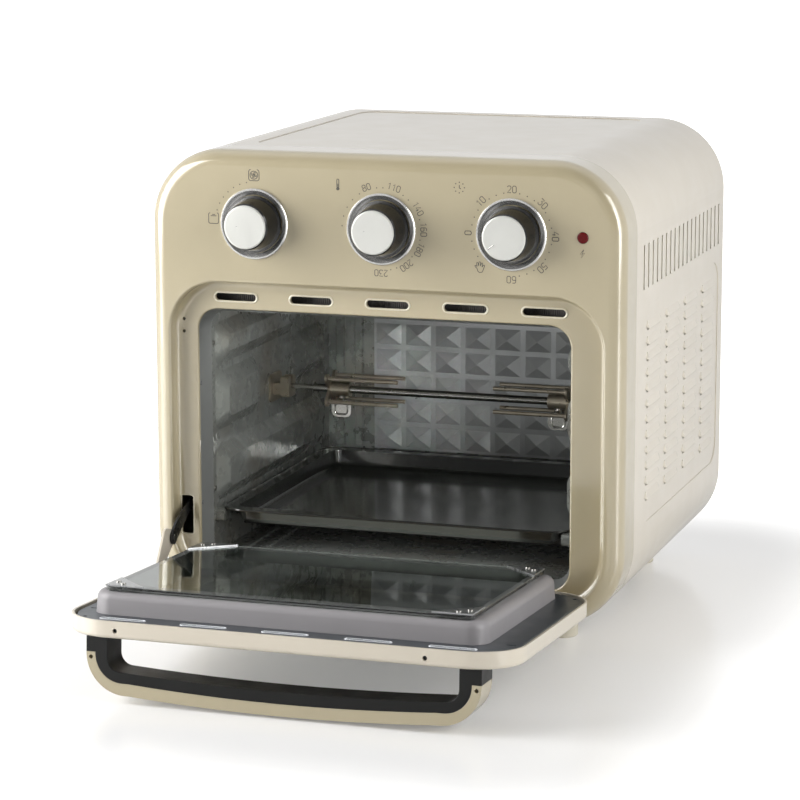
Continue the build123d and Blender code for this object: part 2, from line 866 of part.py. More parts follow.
# Forks that slide along the spit, each with its clamping screw
for name, screw_name, inward in (
    ("left_fork", "left_fork_screw", 1),
    ("right_fork", "right_fork_screw", -1),
):
    start = -inward * fork_reach
    screw_x = start + inward * (fork_sheet + clamp_length / 2)
    with BuildPart() as fork:
        with BuildSketch(upright(start)):
            with Locations((spit_depth, spit_height)):
                SlotOverall(fork_span, fork_arm, rotation=45)
                SlotOverall(fork_span, fork_arm, rotation=-45)
        extrude(amount=inward * fork_sheet)
        with BuildSketch(upright(start)):
            with Locations((spit_depth, spit_height)):
                Circle(clamp_radius)
        extrude(amount=inward * (fork_sheet + clamp_length))
        with BuildSketch(upright(start)):
            with Locations((spit_depth, spit_height)):
                with GridLocations(2 * tine_offset, 2 * tine_offset, 2, 2):
                    Circle(tine_radius)
        extrude(amount=inward * tine_length)
        with BuildSketch(upright(start)):
            with Locations((spit_depth, spit_height)):
                Circle(spit_radius + bearing_gap)
        extrude(amount=inward * (fork_sheet + clamp_length), mode=Mode.SUBTRACT)
        with BuildSketch(level(spit_height)):
            with Locations((screw_x, spit_depth)):
                Circle(screw_radius + bearing_gap)
        extrude(amount=-clamp_radius, mode=Mode.SUBTRACT)
    finish(fork, name)
    with BuildPart() as clamp_screw:
        shank_top = spit_height - spit_radius - 2 * bearing_gap
        collar_top = spit_height - clamp_radius - running_gap
        wing_middle = collar_top - screw_collar - wing_height / 2 + 1
        with BuildSketch(level(shank_top)):
            with Locations((screw_x, spit_depth)):
                Circle(screw_radius)
        extrude(amount=collar_top - 1 - shank_top)
        with BuildSketch(level(collar_top)):
            with Locations((screw_x, spit_depth)):
                Circle(screw_collar)
        extrude(amount=-screw_collar)
        with BuildSketch(across(spit_depth - wing_sheet / 2)):
            with Locations((screw_x, wing_middle)):
                RectangleRounded(wing_span, wing_height, wing_height / 3)
        extrude(amount=wing_sheet, dir=INTO)
    finish(clamp_screw, screw_name)

# Baking tray: a shallow pan whose flange rides on the wall ledges
tray_left = cavity_left + tray_side_gap
tray_right = cavity_right - tray_side_gap
tray_draft = 12
with BuildPart() as tray_hollow:
    with BuildSketch(level(tray_rim)):
        rounded(
            tray_left + tray_flange + tray_sheet,
            tray_right - tray_flange - tray_sheet,
            tray_front + tray_flange + tray_sheet,
            tray_back - tray_flange - tray_sheet,
            tray_corner - tray_flange - tray_sheet,
        )
    extrude(amount=tray_sheet - tray_depth, taper=tray_draft)
    fillet(tray_hollow.faces().sort_by(Axis.Z)[0].edges(), 4 - tray_sheet)

with BuildPart() as baking_tray:
    with BuildSketch(level(tray_rim)):
        rounded(
            tray_left + tray_flange,
            tray_right - tray_flange,
            tray_front + tray_flange,
            tray_back - tray_flange,
            tray_corner - tray_flange,
        )
    extrude(amount=-tray_depth, taper=tray_draft)
    fillet(baking_tray.faces().sort_by(Axis.Z)[0].edges(), 4)
    add(tray_hollow.part, mode=Mode.SUBTRACT)
    with BuildSketch(level(tray_rim)):
        rounded(tray_left, tray_right, tray_front, tray_back, tray_corner)
        rounded(
            tray_left + tray_flange + tray_sheet / 2,
            tray_right - tray_flange - tray_sheet / 2,
            tray_front + tray_flange + tray_sheet / 2,
            tray_back - tray_flange - tray_sheet / 2,
            tray_corner - tray_flange,
            mode=Mode.SUBTRACT,
        )
    extrude(amount=-tray_sheet)
finish(baking_tray, "baking_tray")

# Knobs: chrome dish on the panel, tapered skirt, satin face and shaft, and the control behind
with BuildPart() as knob_bezels:
    for x, height in knob_places:
        with BuildSketch(Plane(origin=(x, front_y, height), x_dir=(1, 0, 0), z_dir=(0, 0, 1))):
            with BuildLine():
                Polyline(
                    (knob_base_radius + 0.5, 0),
                    (knob_base_radius + 0.5, -0.5),
                    (bezel_radius - 1.4, -bezel_height),
                    (bezel_radius - 0.5, -bezel_height),
                    (bezel_radius, -bezel_height + 0.5),
                    (bezel_radius, 0),
                    close=True,
                )
            make_face()
        revolve(axis=Axis((x, front_y, height), (0, 1, 0)))
finish(knob_bezels, "knob_bezels")

knob_front = -knob_clearance - knob_length
for name, (x, height) in zip(("function", "thermostat", "timer"), knob_places):
    turning = Axis((x, front_y, height), (0, 1, 0))
    section = Plane(origin=(x, front_y, height), x_dir=(1, 0, 0), z_dir=(0, 0, 1))
    with BuildPart() as knob:
        with BuildSketch(section):
            with BuildLine():
                Polyline(
                    (0, -knob_clearance),
                    (knob_base_radius, -knob_clearance),
                    (knob_base_radius, -knob_clearance - 2.5),
                    (knob_top_radius, knob_front + 1.2),
                    (knob_top_radius - 0.9, knob_front),
                    (0, knob_front),
                    close=True,
                )
            make_face()
        revolve(axis=turning)
        with BuildSketch(across(-knob_clearance)):
            with Locations((x, height)):
                Circle(shaft_radius + 0.01)
        extrude(amount=12, mode=Mode.SUBTRACT)
    finish(knob, f"{name}_knob")
    with BuildPart() as knob_cap:
        with BuildSketch(section):
            with BuildLine():
                Polyline(
                    (0, knob_front),
                    (knob_face_radius, knob_front),
                    (knob_face_radius, knob_front - knob_face_height * 0.4),
                    (knob_face_radius - 0.8, knob_front - knob_face_height),
                    (0, knob_front - knob_face_height),
                    close=True,
                )
            make_face()
        revolve(axis=turning)
    finish(knob_cap, f"{name}_knob_cap")
    with BuildPart() as shaft:
        with BuildSketch(across(-knob_clearance - 12)):
            with Locations((x, height)):
                Circle(shaft_radius)
        extrude(amount=shaft_length, dir=INTO)
    finish(shaft, f"{name}_shaft")
    with BuildPart() as control:
        with BuildSketch(across(frame_wall)):
            with Locations((x, height)):
                if name == "timer":
                    Circle(23)
                else:
                    Rectangle(40, 30)
        extrude(amount=26, dir=INTO)
        with BuildSketch(across(frame_wall)):
            with Locations((x, height)):
                Circle(shaft_radius + bearing_gap)
        extrude(amount=shaft_length - 12, dir=INTO, mode=Mode.SUBTRACT)
    finish(control, f"{name}_control")

# Pilot lamp
with BuildPart() as lamp_lens:
    with BuildSketch(across(frame_wall)):
        with Locations((lamp_x, lamp_height)):
            Circle(lamp_radius)
    extrude(amount=frame_wall + 1)
    fillet(lamp_lens.faces().sort_by(Axis.Y)[0].edges(), 0.9)
finish(lamp_lens, "lamp_lens")

with BuildPart() as lamp_holder:
    with BuildSketch(across(frame_wall)):
        with Locations((lamp_x, lamp_height)):
            Circle(lamp_radius + 2)
    extrude(amount=14, dir=INTO)
finish(lamp_holder, "lamp_holder")

# Door shell: a shallow pressed pan with the window, the hinge barrels and their notches
with BuildPart() as door_shell:
    with BuildSketch(door_level(rim)):
        rounded(-door_half_width, door_half_width, door_gap, door_reach, door_corner)
    extrude(amount=door_thickness)
    fillet(door_shell.faces().sort_by(door_out)[0].edges(), door_edge)
    offset(amount=-door_sheet, openings=door_shell.faces().sort_by(door_out)[-1])
    with BuildSketch(door_level(door_face)):
        rounded(
            -window_half_width, window_half_width, window_start, window_end, window_corner
        )
    extrude(amount=-door_sheet, mode=Mode.SUBTRACT)
    for side in (-1, 1):
        # notch for the fixed knuckle, then a barrel on each side of it
        notch_x = side * hinge_spacing - knuckle_length / 2 - running_gap
        with BuildSketch(door_upright(notch_x)):
            with Locations((0, 0)):
                Circle(barrel_radius + door_sheet)
        extrude(amount=-knuckle_length - 2 * running_gap, mode=Mode.SUBTRACT)
        for barrel_x in (
            side * hinge_spacing - knuckle_length / 2 - running_gap - barrel_length,
            side * hinge_spacing + knuckle_length / 2 + running_gap,
        ):
            with BuildSketch(door_upright(barrel_x)):
                Circle(barrel_radius)
            extrude(amount=-barrel_length)
            with BuildSketch(door_upright(barrel_x)):
                Circle(pin_radius + bearing_gap)
            extrude(amount=-barrel_length, mode=Mode.SUBTRACT)
    # screw holes in the free edge
    with BuildSketch(door_across(door_reach)):
        with Locations((-115.9, 3), (100.6, 3)):
            Circle(1.6)
    extrude(amount=-door_sheet - 0.2, mode=Mode.SUBTRACT)
finish(door_shell, "door_shell")

# Inner plate: a pan turned over inside the shell, its edge on the shell's floor
plate_half = door_half_width - plate_inset
with BuildPart() as door_inner_plate:
    with BuildSketch(door_level(plate_top)):
        rounded(
            -plate_half,
            plate_half,
            door_gap + plate_inset,
            door_reach - plate_inset,
            door_corner - plate_inset,
        )
    extrude(amount=plate_top - door_face - door_sheet)
    fillet(door_inner_plate.faces().sort_by(door_out)[-1].edges(), 0.8)
    offset(
        amount=-plate_sheet, openings=door_inner_plate.faces().sort_by(door_out)[0]
    )
    with BuildSketch(door_level(plate_top)):
        rounded(
            ring_left + ring_band,
            ring_right - ring_band,
            ring_start + ring_band,
            ring_end - ring_band,
            6,
        )
        with Locations((0, air_slot_height - hinge_height - 1.8)):
            with GridLocations(air_slot_pitch, 1, air_slots, 1):
                SlotOverall(air_slot_length, 4)
        with Locations((-143.5, 203.6), (147.0, 18.6)):
            Circle(1.5)
        with Locations((-148.0, 176.1), (148.5, 182.6)):
            SlotOverall(7, 2)
    extrude(amount=plate_sheet, mode=Mode.SUBTRACT)
finish(door_inner_plate, "door_inner_plate")

# Raised frame that carries the inner pane
with BuildPart() as glass_frame:
    with BuildSketch(door_level(plate_top)):
        rounded(ring_left, ring_right, ring_start, ring_end, ring_corner)
    with BuildSketch(door_level(ring_top)):
        rounded(
            ring_left + ring_draft,
            ring_right - ring_draft,
            ring_start + ring_draft,
            ring_end - ring_draft,
            ring_corner - 1,
        )
    loft()
    fillet(glass_frame.faces().sort_by(door_out)[-1].edges(), ring_round)
    with BuildSketch(door_level(ring_top)):
        rounded(
            ring_left + ring_band,
            ring_right - ring_band,
            ring_start + ring_band,
            ring_end - ring_band,
            6,
        )
    extrude(amount=ring_height, mode=Mode.SUBTRACT)
finish(glass_frame, "glass_frame")

# Panes
glass_left = ring_left + ring_draft + pane_side_reveal
glass_right = ring_right - ring_draft - pane_side_reveal
glass_start = ring_start + ring_draft + pane_hinge_reveal
glass_end = ring_end - ring_draft - pane_far_reveal
glass_top = ring_top + pane
with BuildPart() as inner_glass:
    with BuildSketch(door_level(glass_top)):
        rounded(glass_left, glass_right, glass_start, glass_end, 5)
    extrude(amount=pane)
    chamfer(inner_glass.faces().sort_by(door_out)[-1].edges(), 0.5)
finish(inner_glass, "inner_glass")

with BuildPart() as outer_glass:
    with BuildSketch(door_level(door_face + door_sheet + pane)):
        rounded(
            -window_half_width - outer_pane_lap,
            window_half_width + outer_pane_lap,
            window_start - outer_pane_lap,
            window_end + outer_pane_lap,
            window_corner,
        )
    extrude(amount=pane)
finish(outer_glass, "outer_glass")

# Corner clips over the inner pane and their screws
clip_corners = [
    (glass_left + 0.5, glass_start + 0.5, 1, 1),
    (glass_right - 0.5, glass_start + 0.5, -1, 1),
    (glass_left + 0.5, glass_end - 0.5, 1, -1),
    (glass_right - 0.5, glass_end - 0.5, -1, -1),
]
with BuildPart() as corner_clips:
    with BuildSketch(door_level(glass_top + clip_sheet)):
        for x, reach, step_x, step_reach in clip_corners:
            with BuildLine():
                Polyline(
                    (x, reach),
                    (x + step_x * clip_leg, reach),
                    (x, reach + step_reach * clip_leg),
                    close=True,
                )
            make_face()
    extrude(amount=clip_sheet)
finish(corner_clips, "corner_clips")

with BuildPart() as clip_screws:
    with BuildSketch(door_level(glass_top + clip_sheet)):
        for x, reach, step_x, step_reach in clip_corners:
            with Locations(
                (x + step_x * 5, reach + step_reach * 11),
                (x + step_x * 11, reach + step_reach * 5),
            ):
                Circle(1.8)
    extrude(amount=-0.8)
finish(clip_screws, "clip_screws")

# Handle: a black grip bowed along its bar, and a lighter cover round the outside of it
grip_half = handle_half_width - cover_thickness
bar_front = door_face - handle_stand_off
shoulder = grip_half - cover_corner + cover_thickness
grip_front = bar_front + cover_front
grip_head = door_face - cover_start + handle_fit
grip_round = cover_corner - cover_thickness - 4.5
with BuildPart() as handle_grip:
    with BuildSketch(door_across(handle_start)):
        with BuildLine():
            Polyline(
                (-shoulder, grip_front + handle_bow),
                (-grip_half, grip_front + handle_bow),
                (-grip_half, grip_head),
                (-handle_half_width, grip_head),
                (-handle_half_width, door_face),
                (handle_half_width, door_face),
                (handle_half_width, grip_head),
                (grip_half, grip_head),
                (grip_half, grip_front + handle_bow),
                (shoulder, grip_front + handle_bow),
            )
            ThreePointArc(
                (shoulder, grip_front + handle_bow),
                (0, grip_front),
                (-shoulder, grip_front + handle_bow),
            )
        grip_face = make_face()
        corners = grip_face.vertices().filter_by_position(
            Axis.Y, grip_front + handle_bow - 0.1, grip_front + handle_bow + 0.1
        )
        fillet(
            corners.filter_by_position(Axis.X, grip_half - 0.1, grip_half + 0.1)
            + corners.filter_by_position(Axis.X, -grip_half - 0.1, -grip_half + 0.1),
            grip_round,
        )
        inner_half = grip_half - grip_leg
        inner_bar = grip_front + grip_bar
        with BuildLine():
            Polyline(
                (-inner_half, inner_bar + handle_bow),
                (-inner_half, door_face),
                (inner_half, door_face),
                (inner_half, inner_bar + handle_bow),
            )
            ThreePointArc(
                (inner_half, inner_bar + handle_bow),
                (0, inner_bar),
                (-inner_half, inner_bar + handle_bow),
            )
        make_face(mode=Mode.SUBTRACT)
    extrude(amount=handle_height)
    inner_corners = (
        handle_grip.edges()
        .filter_by(door_along)
        .filter_by(lambda e: abs(abs(e.center().X) - inner_half) < 0.5)
        .filter_by(lambda e: (e.center() - hinge_point).dot(out) < door_face - 5)
    )
    fillet(inner_corners, grip_corner)
finish(handle_grip, "handle_grip")

with BuildPart() as handle_cover:
    cover_half = grip_half + handle_fit
    cover_in = grip_front - handle_fit
    with BuildSketch(door_across(handle_start)):
        with BuildLine():
            Polyline(
                (-shoulder, bar_front + handle_bow),
                (-handle_half_width, bar_front + handle_bow),
                (-handle_half_width, door_face - cover_start),
                (handle_half_width, door_face - cover_start),
                (handle_half_width, bar_front + handle_bow),
                (shoulder, bar_front + handle_bow),
            )
            ThreePointArc(
                (shoulder, bar_front + handle_bow),
                (0, bar_front),
                (-shoulder, bar_front + handle_bow),
            )
        cover_face = make_face()
        corners = cover_face.vertices().filter_by_position(
            Axis.Y, bar_front + handle_bow - 0.1, bar_front + handle_bow + 0.1
        )
        fillet(
            corners.filter_by_position(
                Axis.X, handle_half_width - 0.1, handle_half_width + 0.1
            )
            + corners.filter_by_position(
                Axis.X, -handle_half_width - 0.1, -handle_half_width + 0.1
            ),
            cover_corner - 2,
        )
    extrude(amount=handle_height)
    with BuildSketch(door_across(handle_start)):
        with BuildLine():
            Polyline(
                (-shoulder, cover_in + handle_bow),
                (-cover_half, cover_in + handle_bow),
                (-cover_half, door_face),
                (cover_half, door_face),
                (cover_half, cover_in + handle_bow),
                (shoulder, cover_in + handle_bow),
            )
            ThreePointArc(
                (shoulder, cover_in + handle_bow),
                (0, cover_in),
                (-shoulder, cover_in + handle_bow),
            )
        hollow = make_face()
        corners = hollow.vertices().filter_by_position(
            Axis.Y, cover_in + handle_bow - 0.1, cover_in + handle_bow + 0.1
        )
        fillet(
            corners.filter_by_position(Axis.X, cover_half - 0.1, cover_half + 0.1)
            + corners.filter_by_position(Axis.X, -cover_half - 0.1, -cover_half + 0.1),
            grip_round,
        )
    extrude(amount=handle_height, mode=Mode.SUBTRACT)
    with BuildSketch(door_across(handle_start + handle_height)):
        with Locations(
            (-handle_half_width + cover_thickness / 2, door_face - 14),
            (handle_half_width - cover_thickness / 2, door_face - 14),
        ):
            Circle(1.4)
    extrude(amount=-6, mode=Mode.SUBTRACT)
finish(handle_cover, "handle_cover")

# Screws that hold the handle from inside the shell
with BuildPart() as handle_screws:
    with BuildSketch(door_level(door_face + door_sheet)):
        with Locations(
            (-grip_half + grip_leg / 2, handle_start + handle_height / 2),
            (grip_half - grip_leg / 2, handle_start + handle_height / 2),
        ):
            Circle(3.0)
    extrude(amount=-2)
finish(handle_screws, "handle_screws")

# Bracket on the door that carries the stay arm: a blade that leans back over the hinge
bracket_left = -door_half_width + door_sheet + 0.1
bracket_sheet = plate_inset - door_sheet - 0.2
bracket_foot = door_face + door_edge
with BuildPart() as arm_bracket:
    with BuildSketch(door_upright(bracket_left)):
        with Locations((stay_along, stay_out)):
            Circle(bracket_eye)
        with Locations((stay_along + 10.5, stay_out + 3.5)):
            Circle(bracket_nose)
        with Locations((bracket_start + bracket_width / 2 - 1, rim + 2)):
            Circle(bracket_nose)
        make_hull()
        plain(bracket_start, bracket_start + bracket_width, bracket_foot, rim + 2)
        with Locations((stay_along, stay_out)):
            Circle(rivet_radius + 0.01, mode=Mode.SUBTRACT)
    extrude(amount=-bracket_sheet)
finish(arm_bracket, "arm_bracket")

# Stay arm: a crescent blade on the bracket's rivet that runs back into the slot of the frame
arm_left = bracket_left + bracket_sheet + running_gap
rivet_centre = hinge_point + along * stay_along + out * stay_out
slope = radians(stay_slope)
stay_plane = Plane(
    origin=(arm_left, rivet_centre.Y, rivet_centre.Z),
    x_dir=(0, cos(slope), sin(slope)),
    z_dir=(1, 0, 0),
)
with BuildPart() as stay_arm:
    with BuildSketch(stay_plane):
        Circle(5.4)
        with BuildLine():
            Spline((-1, 5.2), (9, 7), (30, 5.2), (stay_length, 4))
            Line((stay_length, 4), (stay_length, -3))
            Spline((stay_length, -3), (30, -2.5), (8, -4), (-1, -5.2))
            Line((-1, -5.2), (-1, 5.2))
        make_face()
        Circle(rivet_radius + bearing_gap, mode=Mode.SUBTRACT)
        with Locations((stay_length - 5, 0.5)):
            Circle(1.5, mode=Mode.SUBTRACT)
    extrude(amount=stay_sheet)
finish(stay_arm, "stay_arm")

# Rivet through the bracket and the arm
with BuildPart() as arm_rivet:
    with BuildSketch(door_upright(bracket_left)):
        with Locations((stay_along, stay_out)):
            Circle(rivet_radius)
    extrude(amount=-bracket_sheet - running_gap - stay_sheet - 0.1)
    with BuildSketch(door_upright(arm_left + stay_sheet + 0.1)):
        with Locations((stay_along, stay_out)):
            Circle(rivet_head)
    extrude(amount=-rivet_head_height)
finish(arm_rivet, "arm_rivet")
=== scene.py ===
import math

import bmesh
import bpy
from mathutils import Matrix, Vector


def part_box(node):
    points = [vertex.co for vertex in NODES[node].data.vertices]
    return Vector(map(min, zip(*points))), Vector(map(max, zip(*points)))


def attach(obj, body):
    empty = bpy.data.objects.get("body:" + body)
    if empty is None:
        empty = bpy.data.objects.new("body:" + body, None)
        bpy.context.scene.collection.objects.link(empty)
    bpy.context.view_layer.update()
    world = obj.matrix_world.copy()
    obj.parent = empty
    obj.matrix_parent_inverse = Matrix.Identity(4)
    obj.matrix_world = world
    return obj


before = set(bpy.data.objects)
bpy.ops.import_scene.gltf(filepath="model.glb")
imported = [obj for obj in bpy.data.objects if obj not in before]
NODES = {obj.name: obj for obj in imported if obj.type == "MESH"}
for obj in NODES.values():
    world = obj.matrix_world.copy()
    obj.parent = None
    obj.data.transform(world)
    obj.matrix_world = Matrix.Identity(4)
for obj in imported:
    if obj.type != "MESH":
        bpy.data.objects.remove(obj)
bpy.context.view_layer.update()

# ---------------------------------------------------------------- places, in millimetres
MM = 0.001
FRONT = -50.903            # CAD Y of the control panel's face
FOOT = 18.0                # height of the feet
KNOB_X = (-95.3, 0.0, 95.3)
KNOB_Z = FOOT + 279.0
KNOB_CLEARANCE, KNOB_LENGTH, KNOB_FACE = 1.0, 18.5, 0.9
CAP = -KNOB_CLEARANCE - KNOB_LENGTH - KNOB_FACE
RECESS = 13.0              # depth of the door recess
SLOTS, SLOT_PITCH = 5, 57.8
HINGE = Vector((0, FRONT + 2.0, FOOT + 16.4))
TILT = math.radians(3.5)   # by which the open door points upward
ALONG = Vector((0, -math.cos(TILT), math.sin(TILT)))
OUT = Vector((0, math.sin(TILT), math.cos(TILT)))


def at(x, depth, z):
    """Point of the oven: X, depth behind the panel, height."""
    return Vector((x, FRONT + depth, z)) * MM


def on_door(x, reach, height):
    """Point of the open door: X, distance from the hinge, height off the hinge axis."""
    return (Vector((x, 0, 0)) + HINGE + ALONG * reach + OUT * height) * MM


# ---------------------------------------------------------------- camera
YAW, PITCH, ROLL = math.radians(18.21), math.radians(10.90), math.radians(-0.12)
CAMERA_PLACE = Vector((681.8, -2082.3, 587.2)) * MM
LENS, SENSOR = 138.06, 36.0
right = Vector((math.cos(YAW), math.sin(YAW), 0))
look = Vector((-math.sin(YAW) * math.cos(PITCH), math.cos(YAW) * math.cos(PITCH),
               -math.sin(PITCH)))
up = right.cross(look)
right_r = right * math.cos(ROLL) + up * math.sin(ROLL)
up_r = -right * math.sin(ROLL) + up * math.cos(ROLL)
cam_data = bpy.data.cameras.new("camera")
cam_data.sensor_width = SENSOR
cam_data.lens = LENS
cam_data.clip_start, cam_data.clip_end = 0.1, 100.0
cam = bpy.data.objects.new("camera", cam_data)
bpy.context.scene.collection.objects.link(cam)
turn = Matrix((right_r, up_r, -look)).transposed().to_4x4()
cam.matrix_world = Matrix.Translation(CAMERA_PLACE) @ turn
bpy.context.scene.camera = cam

# ---------------------------------------------------------------- materials


def srgb(r, g, b):
    """Linear colour of an sRGB triple from 0 to 255."""
    def one(c):
        c /= 255.0
        return c / 12.92 if c <= 0.04045 else ((c + 0.055) / 1.055) ** 2.4
    return (one(r), one(g), one(b))


class Maker:
    """A material with its node tree, and short calls for the nodes that it needs."""

    def __init__(self, name):
        self.material = bpy.data.materials.new(name)
        self.material.use_nodes = True
        self.tree = self.material.node_tree
        self.shader = self.tree.nodes["Principled BSDF"]
        self.output = self.tree.nodes["Material Output"]
        self.place = self.tree.nodes.new("ShaderNodeTexCoord").outputs["Object"]

    def node(self, kind, **values):
        made = self.tree.nodes.new(kind)
        for key, value in values.items():
            if hasattr(made, key) and key not in made.inputs:
                setattr(made, key, value)
            else:
                made.inputs[key].default_value = value
        return made

    def link(self, a, b):
        self.tree.links.new(a, b)

    def stretched(self, scale):
        made = self.node("ShaderNodeMapping")
        made.inputs["Scale"].default_value = scale
        self.link(self.place, made.inputs["Vector"])
        return made.outputs["Vector"]

    def noise(self, scale, detail=3.0, rough=0.5, source=None):
        made = self.node("ShaderNodeTexNoise", Scale=scale, Detail=detail, Roughness=rough)
        self.link(source or self.place, made.inputs["Vector"])
        return made.outputs["Fac"]

    def spread(self, value, low, high, start=0.3, end=0.7):
        made = self.node("ShaderNodeMapRange")
        made.inputs["From Min"].default_value = start
        made.inputs["From Max"].default_value = end
        made.inputs["To Min"].default_value = low
        made.inputs["To Max"].default_value = high
        self.link(value, made.inputs["Value"])
        return made.outputs["Result"]

    def mix(self, factor, a, b, blend="MIX"):
        made = self.tree.nodes.new("ShaderNodeMix")
        made.data_type = "RGBA"
        made.blend_type = blend
        for source, place in ((factor, 0), (a, 6), (b, 7)):
            if isinstance(source, (int, float)):
                made.inputs[place].default_value = source
            elif isinstance(source, tuple):
                made.inputs[place].default_value = (*source, 1)
            else:
                self.link(source, made.inputs[place])
        return made.outputs[2]

    def bump(self, value, strength, distance, normal=None):
        made = self.node("ShaderNodeBump", Strength=strength, Distance=distance)
        self.link(value, made.inputs["Height"])
        if normal:
            self.link(normal, made.inputs["Normal"])
        return made.outputs["Normal"]

    def set(self, **values):
        for key, value in values.items():
            name = key.replace("_", " ")
            if isinstance(value, tuple) and len(value) == 3:
                value = (*value, 1)
            if isinstance(value, bpy.types.NodeSocket):
                self.link(value, self.shader.inputs[name])
            else:
                self.shader.inputs[name].default_value = value


def scaled(color, factor):
    return tuple(min(1.0, c * factor) for c in color)


def finish_of(name, color, rough, metal=0.0, coat=0.0, coat_rough=0.05, vary=0.05, patch=18.0,
              grain=900.0, grain_depth=0.00002, grain_strength=0.15, stretch=None, soften=0.0,
              wear=None, specular=0.5, rough_vary=0.06, tint=None, coat_ior=1.5):
    """Procedural finish: soft patches, uneven roughness, fine grain as bump, softened edges."""
    m = Maker(name)
    source = m.stretched(stretch) if stretch else m.place
    slow = m.noise(patch, 4.0, 0.55)
    fine = m.noise(grain, 3.0, 0.6, source)
    tone = m.mix(m.spread(slow, 0, 1), scaled(color, 1 - vary), scaled(color, 1 + vary))
    if tint:
        tone = m.mix(m.spread(m.noise(patch * 0.6, 2.0), 0, 0.6, 0.45, 0.75), tone, tint)
    if wear:
        tone = m.mix(m.spread(m.noise(patch * 6, 6.0, 0.7), 0, 0.75, 0.62, 0.78), tone, wear)
    tone = m.mix(m.spread(fine, 0, vary * 0.8), tone, scaled(color, 0.6))
    m.set(Base_Color=tone, Metallic=metal, Coat_Weight=coat, Coat_Roughness=coat_rough,
          Coat_IOR=coat_ior, Specular_IOR_Level=specular,
          Roughness=m.spread(m.noise(patch * 2.5, 5.0, 0.6), rough - rough_vary,
                             rough + rough_vary))
    normal = None
    if soften:
        edge = m.node("ShaderNodeBevel", samples=4)
        edge.inputs["Radius"].default_value = soften
        normal = edge.outputs["Normal"]
    m.set(Normal=m.bump(fine, grain_strength, grain_depth, normal))
    return m


CHAMPAGNE = srgb(184, 172, 141)
CREAM = srgb(218, 209, 192)

paint = finish_of("champagne_enamel", CHAMPAGNE, 0.36, metal=0.06, coat=1.0, coat_rough=0.09,
                  coat_ior=1.8, vary=0.015, grain=5200, grain_depth=0.000006,
                  grain_strength=0.10, soften=0.0004)
cream = finish_of("cream_enamel", CREAM, 0.36, coat=0.6, coat_rough=0.07, vary=0.012,
                  grain=1500, grain_depth=0.00001, grain_strength=0.10, soften=0.0004)
foot_paint = finish_of("cream_plastic", srgb(216, 210, 192), 0.42, vary=0.03, grain=1400)
aluminised = finish_of("aluminised_steel", srgb(152, 155, 150), 0.28, metal=0.58, vary=0.06,
                       patch=30, grain=260, grain_depth=0.00004, grain_strength=0.2,
                       stretch=(1, 0.25, 1), soften=0.0006, tint=srgb(128, 118, 102))
collar_steel = finish_of("collar_steel", srgb(140, 142, 140), 0.36, metal=0.4, vary=0.05,
                         patch=24, grain=420, grain_depth=0.00003, soften=0.0005)
mirror = finish_of("embossed_reflector", srgb(196, 198, 198), 0.3, metal=0.5, vary=0.03,
                   patch=8, grain=2600, grain_depth=0.000004, grain_strength=0.06, rough_vary=0.03)
heater = finish_of("heater_sheath", srgb(74, 72, 70), 0.45, metal=0.7, vary=0.12, patch=60,
                   grain=1800, wear=srgb(110, 92, 74))
ceramic = finish_of("heater_ceramic", srgb(205, 198, 184), 0.6, vary=0.05, grain=1200)
dark_steel = finish_of("dark_zinc", srgb(120, 122, 124), 0.42, metal=0.9, vary=0.08, patch=50,
                       grain=800, grain_depth=0.00003)
plate_steel = finish_of("brushed_door_plate", srgb(90, 95, 100), 0.36, metal=0.6, vary=0.03,
                        patch=12, grain=700, grain_depth=0.000012, grain_strength=0.18,
                        stretch=(0.04, 1, 1), soften=0.0004)
ring_paint = finish_of("grey_satin_enamel", srgb(150, 147, 149), 0.5, metal=0.1, coat=0.1,
                       coat_rough=0.25, vary=0.025, grain=2600, grain_depth=0.00001, soften=0.0006)
clip_steel = finish_of("clip_steel", srgb(184, 185, 186), 0.3, metal=0.95, vary=0.05, patch=60,
                       grain=1500, soften=0.0003)
black_grip = finish_of("black_grip", (0.007, 0.007, 0.0065), 0.42, vary=0.1, grain=2600,
                       grain_depth=0.00003, grain_strength=0.35, soften=0.0012, specular=0.35)
black_gloss = finish_of("black_gloss", (0.006, 0.006, 0.0065), 0.14, coat=0.25, coat_rough=0.03,
                        vary=0.08, grain=3000, grain_depth=0.000004, specular=0.35)
knob_chrome = finish_of("knob_chrome", srgb(228, 227, 224), 0.05, metal=1.0, vary=0.015, patch=40,
                        grain=2500, grain_depth=0.000003, grain_strength=0.05, rough_vary=0.02)
bezel_chrome = finish_of("bezel_chrome", srgb(232, 231, 228), 0.24, metal=0.9, vary=0.015, patch=40,
                         grain=2500, grain_depth=0.000003, grain_strength=0.05, rough_vary=0.03)
knob_satin = finish_of("knob_satin", srgb(222, 222, 216), 0.34, metal=0.35, coat=0.2, vary=0.02,
                       patch=30, grain=2600, grain_depth=0.000006, soften=0.0003)
tray_black = finish_of("black_nonstick", srgb(40, 42, 39), 0.24, metal=0.3, coat=1.0,
                       coat_rough=0.12, coat_ior=1.7, vary=0.05, patch=9, grain=2400,
                       grain_depth=0.000008, grain_strength=0.12, soften=0.0006, rough_vary=0.03)
brass_plate = finish_of("yellow_zinc", srgb(172, 163, 146), 0.32, metal=0.9, vary=0.1, patch=70,
                        grain=900, soften=0.0004, tint=srgb(140, 126, 104))
bright_steel = finish_of("bright_steel", srgb(186, 184, 178), 0.22, metal=1.0, vary=0.06,
                         patch=60, grain=900, grain_depth=0.00001, soften=0.0003)
arm_black = finish_of("black_arm", srgb(44, 44, 44), 0.3, metal=0.6, coat=0.3, vary=0.1,
                      patch=60, grain=2000, soften=0.0004)
rubber = finish_of("black_rubber", (0.02, 0.02, 0.021), 0.6, vary=0.12, grain=1600,
                   grain_depth=0.00005, grain_strength=0.35)
